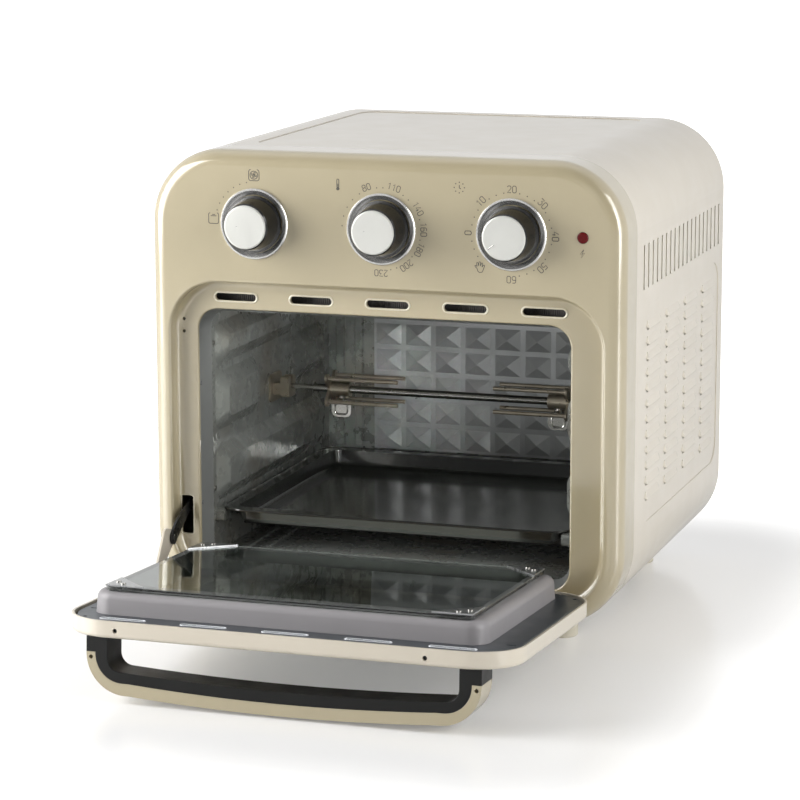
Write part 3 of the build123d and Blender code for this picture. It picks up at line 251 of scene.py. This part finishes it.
lamp_red = finish_of("red_lens", srgb(96, 2, 5), 0.24, coat=0.1, coat_rough=0.05, specular=0.3,
                     vary=0.1, patch=300, grain=900, grain_depth=0.00006, grain_strength=0.5)
fan_metal = finish_of("fan_aluminium", srgb(172, 172, 170), 0.34, metal=0.95, vary=0.05,
                      patch=60, grain=900, stretch=(1, 0.2, 1))
motor_steel = finish_of("motor_steel", srgb(134, 134, 130), 0.45, metal=0.8, vary=0.07, patch=60)
print_ink = finish_of("grey_print", srgb(74, 71, 64), 0.5, vary=0.06, grain=4000)
# paler than the champagne enamel: a painted highlight for the rolled lips of the slots above the
# mouth and of the arm's slot
highlight_paint = finish_of("enamel_edge_painted_highlight", srgb(226, 219, 197), 0.25, coat=0.8, coat_rough=0.05,
                       vary=0.02, grain=3000, grain_depth=0.000006)
# near-white: a painted highlight on the rolled lips of the slots in the door's plate
plate_slot_highlight = finish_of("plate_slot_lip_painted_highlight", srgb(222, 226, 230), 0.3, metal=0.2, vary=0.03, grain=2000)
# near-white cream: a painted highlight on the lips of the louvres and upright slots of the sides
highlight_cream = finish_of("highlight_cream", srgb(244, 240, 230), 0.2, coat=1.0, coat_rough=0.05,
                         vary=0.01, grain=2000)
# cream darkened as if in shade: painted shade, used only for the sheet behind the side slots and
# louvres
shaded_cream = finish_of("shaded_cream", srgb(186, 180, 165), 0.6, vary=0.03, grain=900)
tray_edge = finish_of("black_enamel_edge", srgb(58, 57, 54), 0.16, metal=0.5, coat=0.8,
                      coat_rough=0.06, vary=0.08, grain=1500, grain_depth=0.00001)


def glass_of(name, tint, rough, thickness_tint):
    """Clear pane: glass with faint smears, which tint it darker in patches."""
    m = Maker(name)
    smear = m.noise(30, 5.0, 0.6)
    m.set(Base_Color=m.mix(m.spread(smear, 0, 0.3), tint, thickness_tint),
          Roughness=m.spread(smear, rough, rough + 0.02), Transmission_Weight=1.0, IOR=1.5,
          Normal=m.bump(m.noise(12, 2.0), 0.03, 0.0002))
    return m


pane_inner = glass_of("tinted_glass", srgb(206, 214, 208), 0.01, srgb(180, 190, 184))
pane_outer = glass_of("dark_glass", srgb(84, 90, 82), 0.01, srgb(60, 66, 60))

FINISH = {
    "front_frame": paint, "outer_wrap": cream, "rear_cover": cream, "base_plate": dark_steel,
    "feet": foot_paint, "cord_gland": rubber, "cavity_collar": collar_steel,
    "collar_rivets": bright_steel, "left_wall": aluminised, "right_wall": aluminised,
    "cavity_floor": aluminised, "cavity_roof": aluminised, "back_panel": aluminised,
    "back_reflector": mirror, "upper_heaters": heater, "lower_heaters": heater,
    "heater_holders": ceramic, "fan_chamber": dark_steel, "fan_guard": dark_steel,
    "convection_fan": fan_metal, "fan_motor": motor_steel, "spit_bracket": brass_plate,
    "spit_rod": bright_steel, "drive_socket": dark_steel, "spit_motor": motor_steel,
    "left_fork": brass_plate, "right_fork": brass_plate, "left_fork_screw": bright_steel,
    "right_fork_screw": bright_steel, "baking_tray": tray_black, "knob_bezels": bezel_chrome,
    "lamp_lens": lamp_red, "lamp_holder": black_gloss, "door_shell": cream,
    "door_inner_plate": plate_steel, "glass_frame": ring_paint, "inner_glass": pane_inner,
    "outer_glass": pane_outer, "corner_clips": clip_steel, "clip_screws": bright_steel,
    "handle_grip": black_grip, "handle_cover": paint, "handle_screws": dark_steel,
    "arm_bracket": cream, "stay_arm": arm_black, "arm_rivet": bright_steel,
    "hinge_pins": dark_steel,
}
for dial in ("function", "thermostat", "timer"):
    FINISH[dial + "_knob"] = black_gloss
    FINISH[dial + "_knob_cap"] = knob_satin
    FINISH[dial + "_shaft"] = dark_steel
    FINISH[dial + "_control"] = motor_steel
for name, node in NODES.items():
    node.data.materials.clear()
    node.data.materials.append(FINISH[name].material)

# ---------------------------------------------------------------- pieces


def add_mesh(name, bm, material, body, smooth=True):
    """Turns a bmesh into a piece that rides on a body."""
    mesh = bpy.data.meshes.new(name)
    bm.to_mesh(mesh)
    bm.free()
    if smooth:
        for p in mesh.polygons:
            p.use_smooth = True
        mesh.set_sharp_from_angle(angle=math.radians(35))
    piece = bpy.data.objects.new(name, mesh)
    bpy.context.scene.collection.objects.link(piece)
    mesh.materials.append(material.material)
    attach(piece, body)
    return piece


def tube(name, paths, radius, material, body, closed=False, flatten=None, sides=2):
    """Round strokes along paths of points in metres, joined in one mesh.

    flatten is (origin, normal, share): the share of the height over that plane that is kept.
    """
    curve = bpy.data.curves.new(name, "CURVE")
    curve.dimensions = "3D"
    curve.bevel_depth = radius
    curve.bevel_resolution = sides
    curve.use_fill_caps = True
    for points in paths:
        spline = curve.splines.new("POLY")
        spline.points.add(len(points) - 1)
        for slot, point in zip(spline.points, points):
            slot.co = (*point, 1)
        spline.use_cyclic_u = closed
    shown = bpy.data.objects.new(name, curve)
    bpy.context.scene.collection.objects.link(shown)
    bpy.context.view_layer.update()
    solved = shown.evaluated_get(bpy.context.evaluated_depsgraph_get())
    mesh = bpy.data.meshes.new_from_object(solved)
    bpy.data.objects.remove(shown)
    bm = bmesh.new()
    bm.from_mesh(mesh)
    bpy.data.meshes.remove(mesh)
    if flatten:
        origin, normal, share = flatten
        for v in bm.verts:
            off = (v.co - origin).dot(normal)
            v.co -= normal * off * (1 - share)
    return add_mesh(name, bm, material, body)


def arc(cx, cz, r, a0, a1, steps=10):
    """Points of an arc; angles in degrees clockwise from the top."""
    turns = [math.radians(a0 + (a1 - a0) * i / steps) for i in range(steps + 1)]
    return [(cx + r * math.sin(a), cz + r * math.cos(a)) for a in turns]


def rounded_loop(x0, x1, z0, z1, r, steps=6):
    """Closed loop of a rounded rectangle."""
    return (arc(x1 - r, z1 - r, r, 0, 90, steps) + arc(x1 - r, z0 + r, r, 90, 180, steps)
            + arc(x0 + r, z0 + r, r, 180, 270, steps) + arc(x0 + r, z1 - r, r, 270, 360, steps))


def slot_row(place, half_length, low, high, end_radius):
    """Outlines of the row of air slots; place turns two coordinates into a point."""
    outlines = []
    for k in range(SLOTS):
        x = (k - SLOTS // 2) * SLOT_PITCH
        loop = rounded_loop(x - half_length, x + half_length, low, high, end_radius, 8)
        outlines.append([place(u, v) for u, v in loop])
    return outlines


def join_rings(bm, rings):
    """Faces between each closed ring of vertices and the next."""
    for a, b in zip(rings, rings[1:]):
        for k in range(len(a)):
            after = (k + 1) % len(a)
            bm.faces.new((a[k], a[after], b[after], b[k]))


def domed(name, centre, normal, radius, height, material, body, sides=24):
    """Small screw head: a dome turned round its axis, with a shallow dimple pressed in."""
    normal = Vector(normal)
    side = normal.orthogonal().normalized()
    other = normal.cross(side)
    turns = [k * math.tau / sides for k in range(sides)]
    bm = bmesh.new()
    rings = []
    for share, rise in ((1.0, 0.0), (0.97, 0.45), (0.8, 0.8), (0.5, 0.95)):
        rings.append([bm.verts.new(centre + (side * math.cos(t) + other * math.sin(t)) * radius
                                   * share * MM + normal * height * rise * MM) for t in turns])
    join_rings(bm, rings)
    bm.faces.new(rings[0][::-1])
    dimple = centre + normal * height * 0.5 * MM
    sunk = [bm.verts.new(v.co * 0.5 + dimple * 0.5) for v in rings[-1]]
    join_rings(bm, [rings[-1], sunk])
    bm.faces.new(sunk)
    bmesh.ops.recalc_face_normals(bm, faces=bm.faces)
    return add_mesh(name, bm, material, body)


# strokes of the digits, one unit high
GLYPHS = {
    "0": [[(.14, 0), (.42, 0), (.56, .14), (.56, .86), (.42, 1), (.14, 1), (0, .86), (0, .14),
           (.14, 0)]],
    "1": [[(.14, .78), (.36, 1), (.36, 0)]],
    "2": [[(0, .84), (.14, 1), (.42, 1), (.56, .86), (.56, .64), (0, 0), (.56, 0)]],
    "3": [[(0, 1), (.56, 1), (.26, .6), (.42, .6), (.56, .46), (.56, .14), (.42, 0), (.14, 0),
           (0, .14)]],
    "4": [[(.36, 1), (0, .3), (.56, .3)], [(.44, .52), (.44, 0)]],
    "5": [[(.54, 1), (.06, 1), (.03, .58), (.42, .6), (.56, .46), (.56, .14), (.42, 0), (.12, 0),
           (0, .12)]],
    "6": [[(.5, 1), (.16, 1), (0, .82), (0, .14), (.14, 0), (.42, 0), (.56, .14), (.56, .44),
           (.42, .58), (0, .56)]],
    "8": [[(.14, .54), (.02, .66), (.02, .88), (.14, 1), (.42, 1), (.54, .88), (.54, .66),
           (.42, .54), (.14, .54), (0, .4), (0, .14), (.14, 0), (.42, 0), (.56, .14), (.56, .4),
           (.42, .54)]],
}
DIGIT_WIDTH, DIGIT_GAP = 0.56, 0.24     # shares of the height
DOT_RADIUS, DOT_SIZE = 29.3, 0.42
PRINT_PLANE = (Vector((0, FRONT * MM, 0)), Vector((0, 1, 0)), 0.35)


def number(text, angle, radius, height=4.7):
    """Strokes of a number that stands radially on its dial."""
    width, gap = DIGIT_WIDTH * height, DIGIT_GAP * height
    total = len(text) * width + (len(text) - 1) * gap
    a = math.radians(angle)
    paths = []
    for i, digit in enumerate(text):
        left = -total / 2 + i * (width + gap)
        for path in GLYPHS[digit]:
            placed = []
            for u, v in path:
                u, v = left + u * height, (v - 0.5) * height + radius
                placed.append((u * math.cos(a) + v * math.sin(a),
                               -u * math.sin(a) + v * math.cos(a)))
            paths.append(placed)
    return paths


def dot(angle, radius=DOT_RADIUS, size=DOT_SIZE):
    """Place and size of a dot of a dial."""
    a = math.radians(angle)
    return (radius * math.sin(a), radius * math.cos(a), size)


def print_on_panel(name, centre_x, centre_z, strokes, dots=(), width=0.3):
    """Flat printing on the control panel: strokes and dots in millimetres round a centre."""
    paths = [[at(centre_x + u, 0, centre_z + v) for u, v in path] for path in strokes]
    for u, v, size in dots:
        paths.append([at(centre_x + u + size * 0.5 * math.cos(t), 0,
                         centre_z + v + size * 0.5 * math.sin(t))
                      for t in [i * math.tau / 8 for i in range(9)]])
    return tube(name, paths, width * MM, print_ink, "housing", flatten=PRINT_PLANE, sides=1)


# printing round the dials
FAN_X, FAN_Z, BLADE_TURN = -0.25, 34.85, 20
oven_icon = [rounded_loop(-35.2, -27.6, -0.9, 6.7, 1.2) + [(-34.0, 6.7)],
             [(-33.6, 4.6), (-29.2, 4.6)], [(-32.6, 5.6), (-30.2, 5.6)]]
fan_icon = [rounded_loop(-4.2, 3.7, 30.9, 38.8, 1.6) + [(-2.6, 38.8)],
            arc(FAN_X, FAN_Z, 2.9, 0, 360, 18)]
blade = ((0.3, 0), (1.1, -28), (2.0, -18), (2.2, 12), (1.3, 18), (0.4, 30))
for k in range(4):
    turns = [(reach, math.radians(90 * k + BLADE_TURN + t)) for reach, t in blade]
    fan_icon.append([(FAN_X + reach * math.sin(a), FAN_Z + reach * math.cos(a))
                     for reach, a in turns])
print_on_panel("function_print", KNOB_X[0], KNOB_Z, oven_icon + fan_icon,
               [dot(-11.4 - 10.2 * k, 30.0) for k in range(7)])

thermometer = [arc(-32.3, 33.6, 0.75, -90, 90, 6) + [(-31.55, 28.6)],
               [(-33.05, 33.6), (-33.05, 28.6)], arc(-32.3, 27.5, 1.0, 0, 360, 10),
               arc(-32.3, 27.5, 0.5, 0, 360, 8), [(-32.3, 27.5), (-32.3, 31.0)]]
heats = (("80", -20.8), ("110", 17.3), ("140", 60.3), ("160", 88.2), ("180", 115.5),
         ("200", 143.5), ("230", 180.5))
heat_dots = (-87.4, -73.6, -60.1, -46.8, -33.6, -6.7, 2.5, 33.3, 43.0, 74.5, 103.2, 129.4,
             157.3, 166.4)
print_on_panel("thermostat_print", KNOB_X[1], KNOB_Z,
               thermometer + [p for t, a in heats for p in number(t, a, 31.2, 4.4)],
               [dot(a) for a in heat_dots])

CLOCK_X, CLOCK_Z, CLOCK_RADIUS = -38.0, 31.5, 3.7
clock_dots = [(CLOCK_X + CLOCK_RADIUS * math.sin(t), CLOCK_Z + CLOCK_RADIUS * math.cos(t), DOT_SIZE)
              for t in [k * math.tau / 8 for k in range(8)]]
clock_hands = [[(-38.0, 33.2), (-38.0, 31.2), (-36.9, 30.6)]]
hand_icon = [[(-24.9, -24.8), (-26.2, -23.6), (-26.6, -22.9), (-25.9, -22.6), (-24.9, -23.4)],
             [(-24.9, -23.4), (-25.3, -21.0), (-24.8, -20.5), (-24.2, -20.9), (-23.9, -22.9)],
             [(-23.9, -22.9), (-23.5, -20.2), (-22.9, -19.9), (-22.4, -20.4), (-22.5, -23.0)],
             [(-22.5, -23.0), (-21.6, -20.8), (-21.0, -20.7), (-20.8, -21.3), (-21.3, -23.6)],
             [(-21.3, -23.6), (-20.2, -22.3), (-19.6, -22.3), (-19.5, -22.9), (-20.4, -25.4),
              (-21.2, -27.2), (-23.2, -27.6), (-24.4, -26.6), (-24.9, -24.8)]]
MINUTE, NO_MINUTES = 4.5, -90      # turn of a minute, and where the timer starts, in degrees
minutes = [(str(m), NO_MINUTES + MINUTE * m) for m in range(0, 61, 10)]
ticks = [NO_MINUTES + 2.5 * MINUTE * k for k in range(-3, 24) if k % 4]
print_on_panel("timer_print", KNOB_X[2], KNOB_Z,
               [p for t, a in minutes for p in number(t, a, 31.6)] + clock_hands + hand_icon,
               [dot(a) for a in ticks] + clock_dots)

bolt = [[(0.9, 3.0), (-1.5, -0.1), (0.1, 0.1), (-0.9, -3.0), (1.6, 0.5), (0.0, 0.3), (0.9, 3.0)]]
print_on_panel("power_print", 146.2, FOOT + 267.6, bolt)

# pointer marks on the caps: a dimple on the first two, a short line on the timer
for body, x, mark in (("function_knob", KNOB_X[0], [(-6.3, 0.0), (-5.9, 0.0)]),
                      ("thermostat_knob", KNOB_X[1], [(-6.3, 0.4), (-5.9, 0.4)]),
                      ("timer_knob", KNOB_X[2], [(-10.8, -8.2), (-6.9, -5.2)])):
    tube(body + "_mark", [[at(x + u, CAP, KNOB_Z + v) for u, v in mark]],
         0.55 * MM, knob_chrome, body, flatten=(at(0, CAP, 0), Vector((0, 1, 0)), 0.18))

# rolled lips of the air slots above the mouth, of those in the door's plate, and of the arm's slot,
# all paler than the surface round them as painted highlights
tube("air_slot_lips",
     slot_row(lambda u, v: at(u, RECESS, v), 16.4, FOOT + 219.9, FOOT + 226.5, 3.3),
     0.75 * MM, highlight_paint, "housing", closed=True)
# these lips are near-white as a painted highlight along the slots
tube("plate_slot_lips", slot_row(lambda u, v: on_door(u, v, 8.5), 16.2, 202.8, 207.2, 2.2),
     0.45 * MM, plate_slot_highlight, "door", closed=True)
arm_slot = rounded_loop(-160.5, -150.6, FOOT + 44.8, FOOT + 74.3, 2.0, 5)
tube("hinge_slot_lip", [[at(u, RECESS, v) for u, v in arm_slot]],
     0.5 * MM, highlight_paint, "housing", closed=True)

# corrugated baffle behind the air slots
BAFFLE_LEFT, BAFFLE_STEP, BAFFLE_COUNT = -148, 0.8, 371
BAFFLE_DEPTH, BAFFLE_WAVE, BAFFLE_SHEET = 22.0, 0.35, 0.8
BAFFLE_LOW, BAFFLE_HIGH = FOOT + 218.6, FOOT + 229
section = ((BAFFLE_LOW, 0), (BAFFLE_HIGH, 0), (BAFFLE_HIGH, BAFFLE_SHEET),
           (BAFFLE_LOW, BAFFLE_SHEET))
bm = bmesh.new()
rows = []
for i in range(BAFFLE_COUNT):
    x = BAFFLE_LEFT + BAFFLE_STEP * i
    depth = BAFFLE_DEPTH + (BAFFLE_WAVE if i % 2 else 0.0)
    rows.append([bm.verts.new(at(x, depth + behind, z)) for z, behind in section])
join_rings(bm, rows)
bm.faces.new(rows[0][::-1])
bm.faces.new(rows[-1])
bmesh.ops.recalc_face_normals(bm, faces=bm.faces)
add_mesh("slot_baffle", bm, heater, "housing", smooth=False)

# pale sheet behind the slots and louvres of the sides, coloured as cream in shade: painted
# half-light seen through them in place of the dark inside
LINING_X, LINING_DEPTH, LINING_Z = 173.4, 181, FOOT + 172
LINING_SHEET, LINING_LENGTH, LINING_HEIGHT = 0.8, 258, 200
for side, x in (("left", -LINING_X), ("right", LINING_X)):
    bm = bmesh.new()
    bmesh.ops.create_cube(bm, size=1.0)
    for v in bm.verts:
        v.co = at(x + LINING_SHEET * v.co.x, LINING_DEPTH + LINING_LENGTH * v.co.y,
                  LINING_Z + LINING_HEIGHT * v.co.z)
    bmesh.ops.bevel(bm, geom=bm.edges[:], offset=0.3 * MM, segments=2, affect="EDGES")
    add_mesh("slot_painted_light_sheet_" + side, bm, shaded_cream, "housing")

# rolled lips of the louvre hoods and of the upright slots, near-white as a painted highlight along
# their edges, and the hoods' closed ends
SKIN, LIP = 176.3, 0.32            # half width of the wrap, radius of the lips
HOOD_COLUMNS, HOOD_START, HOOD_PITCH = 4, 71.0, 58.7
HOOD_ROWS, HOOD_LOW, HOOD_RISE = 12, FOOT + 81.9, 11.35
CHEEK_REACH = 5.0
UPRIGHTS, UPRIGHT_START, UPRIGHT_PITCH = 19, 59.75, 13.5
hoods, uprights = [], []
cheeks = bmesh.new()
for side in (-1, 1):
    out = side * (SKIN + 1.1 - LIP)
    root, edge = side * (SKIN - 0.7), side * (SKIN + 1.09)
    for column in range(HOOD_COLUMNS):
        start = HOOD_START + HOOD_PITCH * column
        for row in range(HOOD_ROWS):
            top = HOOD_LOW + HOOD_RISE * row
            hoods.append([at(out, start + 36.6, top - 1.1), at(out, start + 0.4, top - 1.1),
                          at(out, start + 0.3, top - 0.4),
                          at(side * (SKIN - 0.35), start + 0.3, top + 4.6)])
            outline = ((root, top + 5.0), (edge, top - 0.6), (edge, top - 1.5), (root, top - 0.4))
            for end, way in ((start + 0.05, -1), (start + 36.95, 1)):
                ring = [cheeks.verts.new(at(x, end, z)) for x, z in outline]
                tip = cheeks.verts.new(at(root, end + way * CHEEK_REACH, top + 1.2))
                for a, b in zip(ring, ring[1:] + ring[:1]):
                    cheeks.faces.new((a, b, tip))
                cheeks.faces.new(ring)
    for slot in range(UPRIGHTS):
        back = UPRIGHT_START + UPRIGHT_PITCH * slot
        uprights.append([at(side * (SKIN - LIP + 0.1), back, z)
                         for z in (FOOT + 235.7, FOOT + 251.4, FOOT + 267.1)])
bmesh.ops.recalc_face_normals(cheeks, faces=cheeks.faces)
add_mesh("louvre_cheeks", cheeks, cream, "housing", smooth=False)
tube("louvre_lips", hoods, LIP * MM, highlight_cream, "housing")
tube("slot_edges", uprights, LIP * MM, highlight_cream, "housing")

# screws through the left side of the collar
for tag, z in (("upper", 175.6), ("lower", 86.4)):
    domed("collar_screw_" + tag, at(-145.9, 18.0, z), (1, 0, 0), 2.0, 1.1, dark_steel, "housing")

# rolled edge of the tray
TRAY_INSET, TRAY_CORNER, TRAY_WIRE = 0.5 * MM, 17.5 * MM, 0.95 * MM
lo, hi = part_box("baking_tray")
loop = rounded_loop(lo.x + TRAY_INSET, hi.x - TRAY_INSET, lo.y + TRAY_INSET, hi.y - TRAY_INSET,
                    TRAY_CORNER, 10)
tube("tray_rolled_edge", [[Vector((u, v, hi.z - 0.45 * MM)) for u, v in loop]], TRAY_WIRE,
     tray_edge, "tray", closed=True)

# bent wire loops on the wings of the fork screws, open where they meet the wing
WING_HALF, WING_LOW, WING_HIGH, WING_CORNER = 5.0 * MM, 2.4 * MM, 10.6 * MM, 2.6 * MM
for side in ("left", "right"):
    lo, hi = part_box(side + "_fork_screw")
    centre_x = (lo.x + hi.x) / 2
    y = (lo.y + hi.y) / 2 - 0.9 * MM
    loop = rounded_loop(centre_x - WING_HALF, centre_x + WING_HALF, lo.z + WING_LOW,
                        lo.z + WING_HIGH, WING_CORNER, 6)
    tube(side + "_wing_loop", [[Vector((u, y, v)) for u, v in loop[4:]]], 0.75 * MM, bright_steel,
         side + "_fork_screw")

# ---------------------------------------------------------------- floor, light
SHADOW_CORE = (0.16, 0.27, 10)     # half sizes of the floor under the oven, in metres
GLOW = (("From Min", 0.05), ("From Max", 0.24), ("To Min", 0.19), ("To Max", 0.9))
FLOOR_MIRRORED = 0.35              # share of the glow that reflections see


def math_of(tree, operation, a, b):
    """Result of a math node, whose inputs are sockets or numbers."""
    made = tree.nodes.new("ShaderNodeMath")
    made.operation = operation
    for place, source in enumerate((a, b)):
        if isinstance(source, (int, float)):
            made.inputs[place].default_value = source
        else:
            tree.links.new(source, made.inputs[place])
    return made.outputs[0]


def floor_material():
    """Pale floor that glows white for the camera, less so under and beside the oven."""
    m = Maker("studio_floor")
    m.set(Base_Color=m.mix(m.spread(m.noise(1.3), 0, 1), (0.86, 0.86, 0.86), (0.885, 0.885, 0.885)),
          Roughness=m.spread(m.noise(3.0), 0.16, 0.22), Specular_IOR_Level=0.5)
    path = m.node("ShaderNodeLightPath").outputs
    seen = math_of(m.tree, "MAXIMUM", path["Is Camera Ray"], path["Is Transmission Ray"])
    mirrored_share = math_of(m.tree, "MULTIPLY", path["Is Glossy Ray"], FLOOR_MIRRORED)
    shown = math_of(m.tree, "MAXIMUM", seen, mirrored_share)
    folded = m.node("ShaderNodeVectorMath", operation="ABSOLUTE")
    m.link(m.place, folded.inputs[0])
    beyond = m.node("ShaderNodeVectorMath", operation="SUBTRACT")
    beyond.inputs[1].default_value = SHADOW_CORE
    m.link(folded.outputs[0], beyond.inputs[0])
    outside = m.node("ShaderNodeVectorMath", operation="MAXIMUM")
    outside.inputs[1].default_value = (0, 0, 0)
    m.link(beyond.outputs[0], outside.inputs[0])
    away = m.node("ShaderNodeVectorMath", operation="LENGTH")
    m.link(outside.outputs[0], away.inputs[0])
    far = m.node("ShaderNodeMapRange", interpolation_type="SMOOTHSTEP")
    for key, value in GLOW:
        far.inputs[key].default_value = value
    m.link(away.outputs["Value"], far.inputs["Value"])
    glow = m.node("ShaderNodeEmission")
    glow.inputs["Color"].default_value = (1, 1, 1, 1)
    m.link(math_of(m.tree, "MULTIPLY", shown, far.outputs["Result"]), glow.inputs["Strength"])
    both = m.node("ShaderNodeAddShader")
    m.link(m.shader.outputs[0], both.inputs[0])
    m.link(glow.outputs[0], both.inputs[1])
    m.link(both.outputs[0], m.output.inputs["Surface"])
    return m


bm = bmesh.new()
bmesh.ops.create_grid(bm, x_segments=24, y_segments=24, size=14.0)
mesh = bpy.data.meshes.new("studio_floor")
bm.to_mesh(mesh)
bm.free()
floor = bpy.data.objects.new("studio_floor", mesh)
mesh.materials.append(floor_material().material)
bpy.context.scene.collection.objects.link(floor)

# The studio is white round the sides and dark in front; the camera itself sees plain white
DARK_WAY = Vector((0.10, -0.98, 0.15)).normalized()
LIGHT, LIGHT_LOST = 0.40, 0.37             # of what lights, and how much of it the dark side loses
MIRRORED, MIRRORED_LOST = 0.92, 0.84       # the same of what is reflected
world = bpy.data.worlds.new("studio")
bpy.context.scene.world = world
world.use_nodes = True
wt = world.node_tree
path = wt.nodes.new("ShaderNodeLightPath").outputs
toward = wt.nodes.new("ShaderNodeVectorMath")
toward.operation = "DOT_PRODUCT"
toward.inputs[1].default_value = DARK_WAY
wt.links.new(wt.nodes.new("ShaderNodeTexCoord").outputs["Generated"], toward.inputs[0])
dark = wt.nodes.new("ShaderNodeMapRange")
dark.interpolation_type = "SMOOTHSTEP"
for key, value in (("From Min", -0.05), ("From Max", 0.75), ("To Min", 0.0), ("To Max", 1.0)):
    dark.inputs[key].default_value = value
wt.links.new(toward.outputs["Value"], dark.inputs["Value"])
strengths = [math_of(wt, "SUBTRACT", full, math_of(wt, "MULTIPLY", dark.outputs["Result"], lost))
             for full, lost in ((LIGHT, LIGHT_LOST), (MIRRORED, MIRRORED_LOST))]
glossy = path["Is Glossy Ray"]
lit = math_of(wt, "ADD",
              math_of(wt, "MULTIPLY", strengths[0], math_of(wt, "SUBTRACT", 1.0, glossy)),
              math_of(wt, "MULTIPLY", strengths[1], glossy))
seen = math_of(wt, "MAXIMUM", path["Is Camera Ray"], path["Is Transmission Ray"])
back = wt.nodes["Background"]
wt.links.new(math_of(wt, "MAXIMUM", lit, seen), back.inputs["Strength"])
back.inputs["Color"].default_value = (1, 1, 1, 1)


def softbox(name, place, target, width, height, power):
    """Rectangular lamp at a place, turned to a target; metres and watts."""
    data = bpy.data.lights.new(name, "AREA")
    data.shape = "RECTANGLE"
    data.size, data.size_y = width, height
    data.energy = power
    lamp = bpy.data.objects.new(name, data)
    bpy.context.scene.collection.objects.link(lamp)
    place, target = Vector(place), Vector(target)
    lamp.location = place
    lamp.rotation_mode = "QUATERNION"
    lamp.rotation_quaternion = (target - place).to_track_quat("-Z", "Y")
    return lamp


softbox("key_left", (-1.24, -0.80, 0.60), (0, -0.05, 0.17), 1.1, 1.1, 25)
softbox("strip_left", (-0.74, -0.44, 0.36), (-0.15, -0.02, 0.31), 0.24, 0.56, 1.5)
softbox("top", (-0.2, 0.4, 2.2), (0, 0.1, 0.2), 1.6, 1.6, 1.5)
softbox("fill_right", (1.25, -0.46, 0.62), (0.1, 0.1, 0.18), 0.5, 1.15, 9.5)
softbox("strip_right", (0.80, -0.36, 0.33), (0.15, -0.02, 0.25), 0.14, 0.6, 0.7)
softbox("front_low", (0.25, -2.4, 0.75), (0, 0.1, 0.15), 0.9, 0.7, 1)
mouth = softbox("into_the_mouth", (0.55, -1.45, 0.42), (-0.01, 0.0, 0.165), 0.13, 0.10, 0.02)
mouth.data.spread = math.radians(4)
# two weak lamps for the deep cavity, which few bounces reach
inside = softbox("under_the_roof", at(0, 34, FOOT + 203), at(-20, 200, FOOT + 90), 0.22, 0.04, 0.22)
below = softbox("under_the_tray", at(-10, 40, FOOT + 50), at(-10, 160, FOOT + 28), 0.2, 0.02, 0.05)
for lamp in (inside, below):
    lamp.visible_camera = lamp.visible_glossy = False

bpy.context.scene.view_settings.view_transform = "Standard"
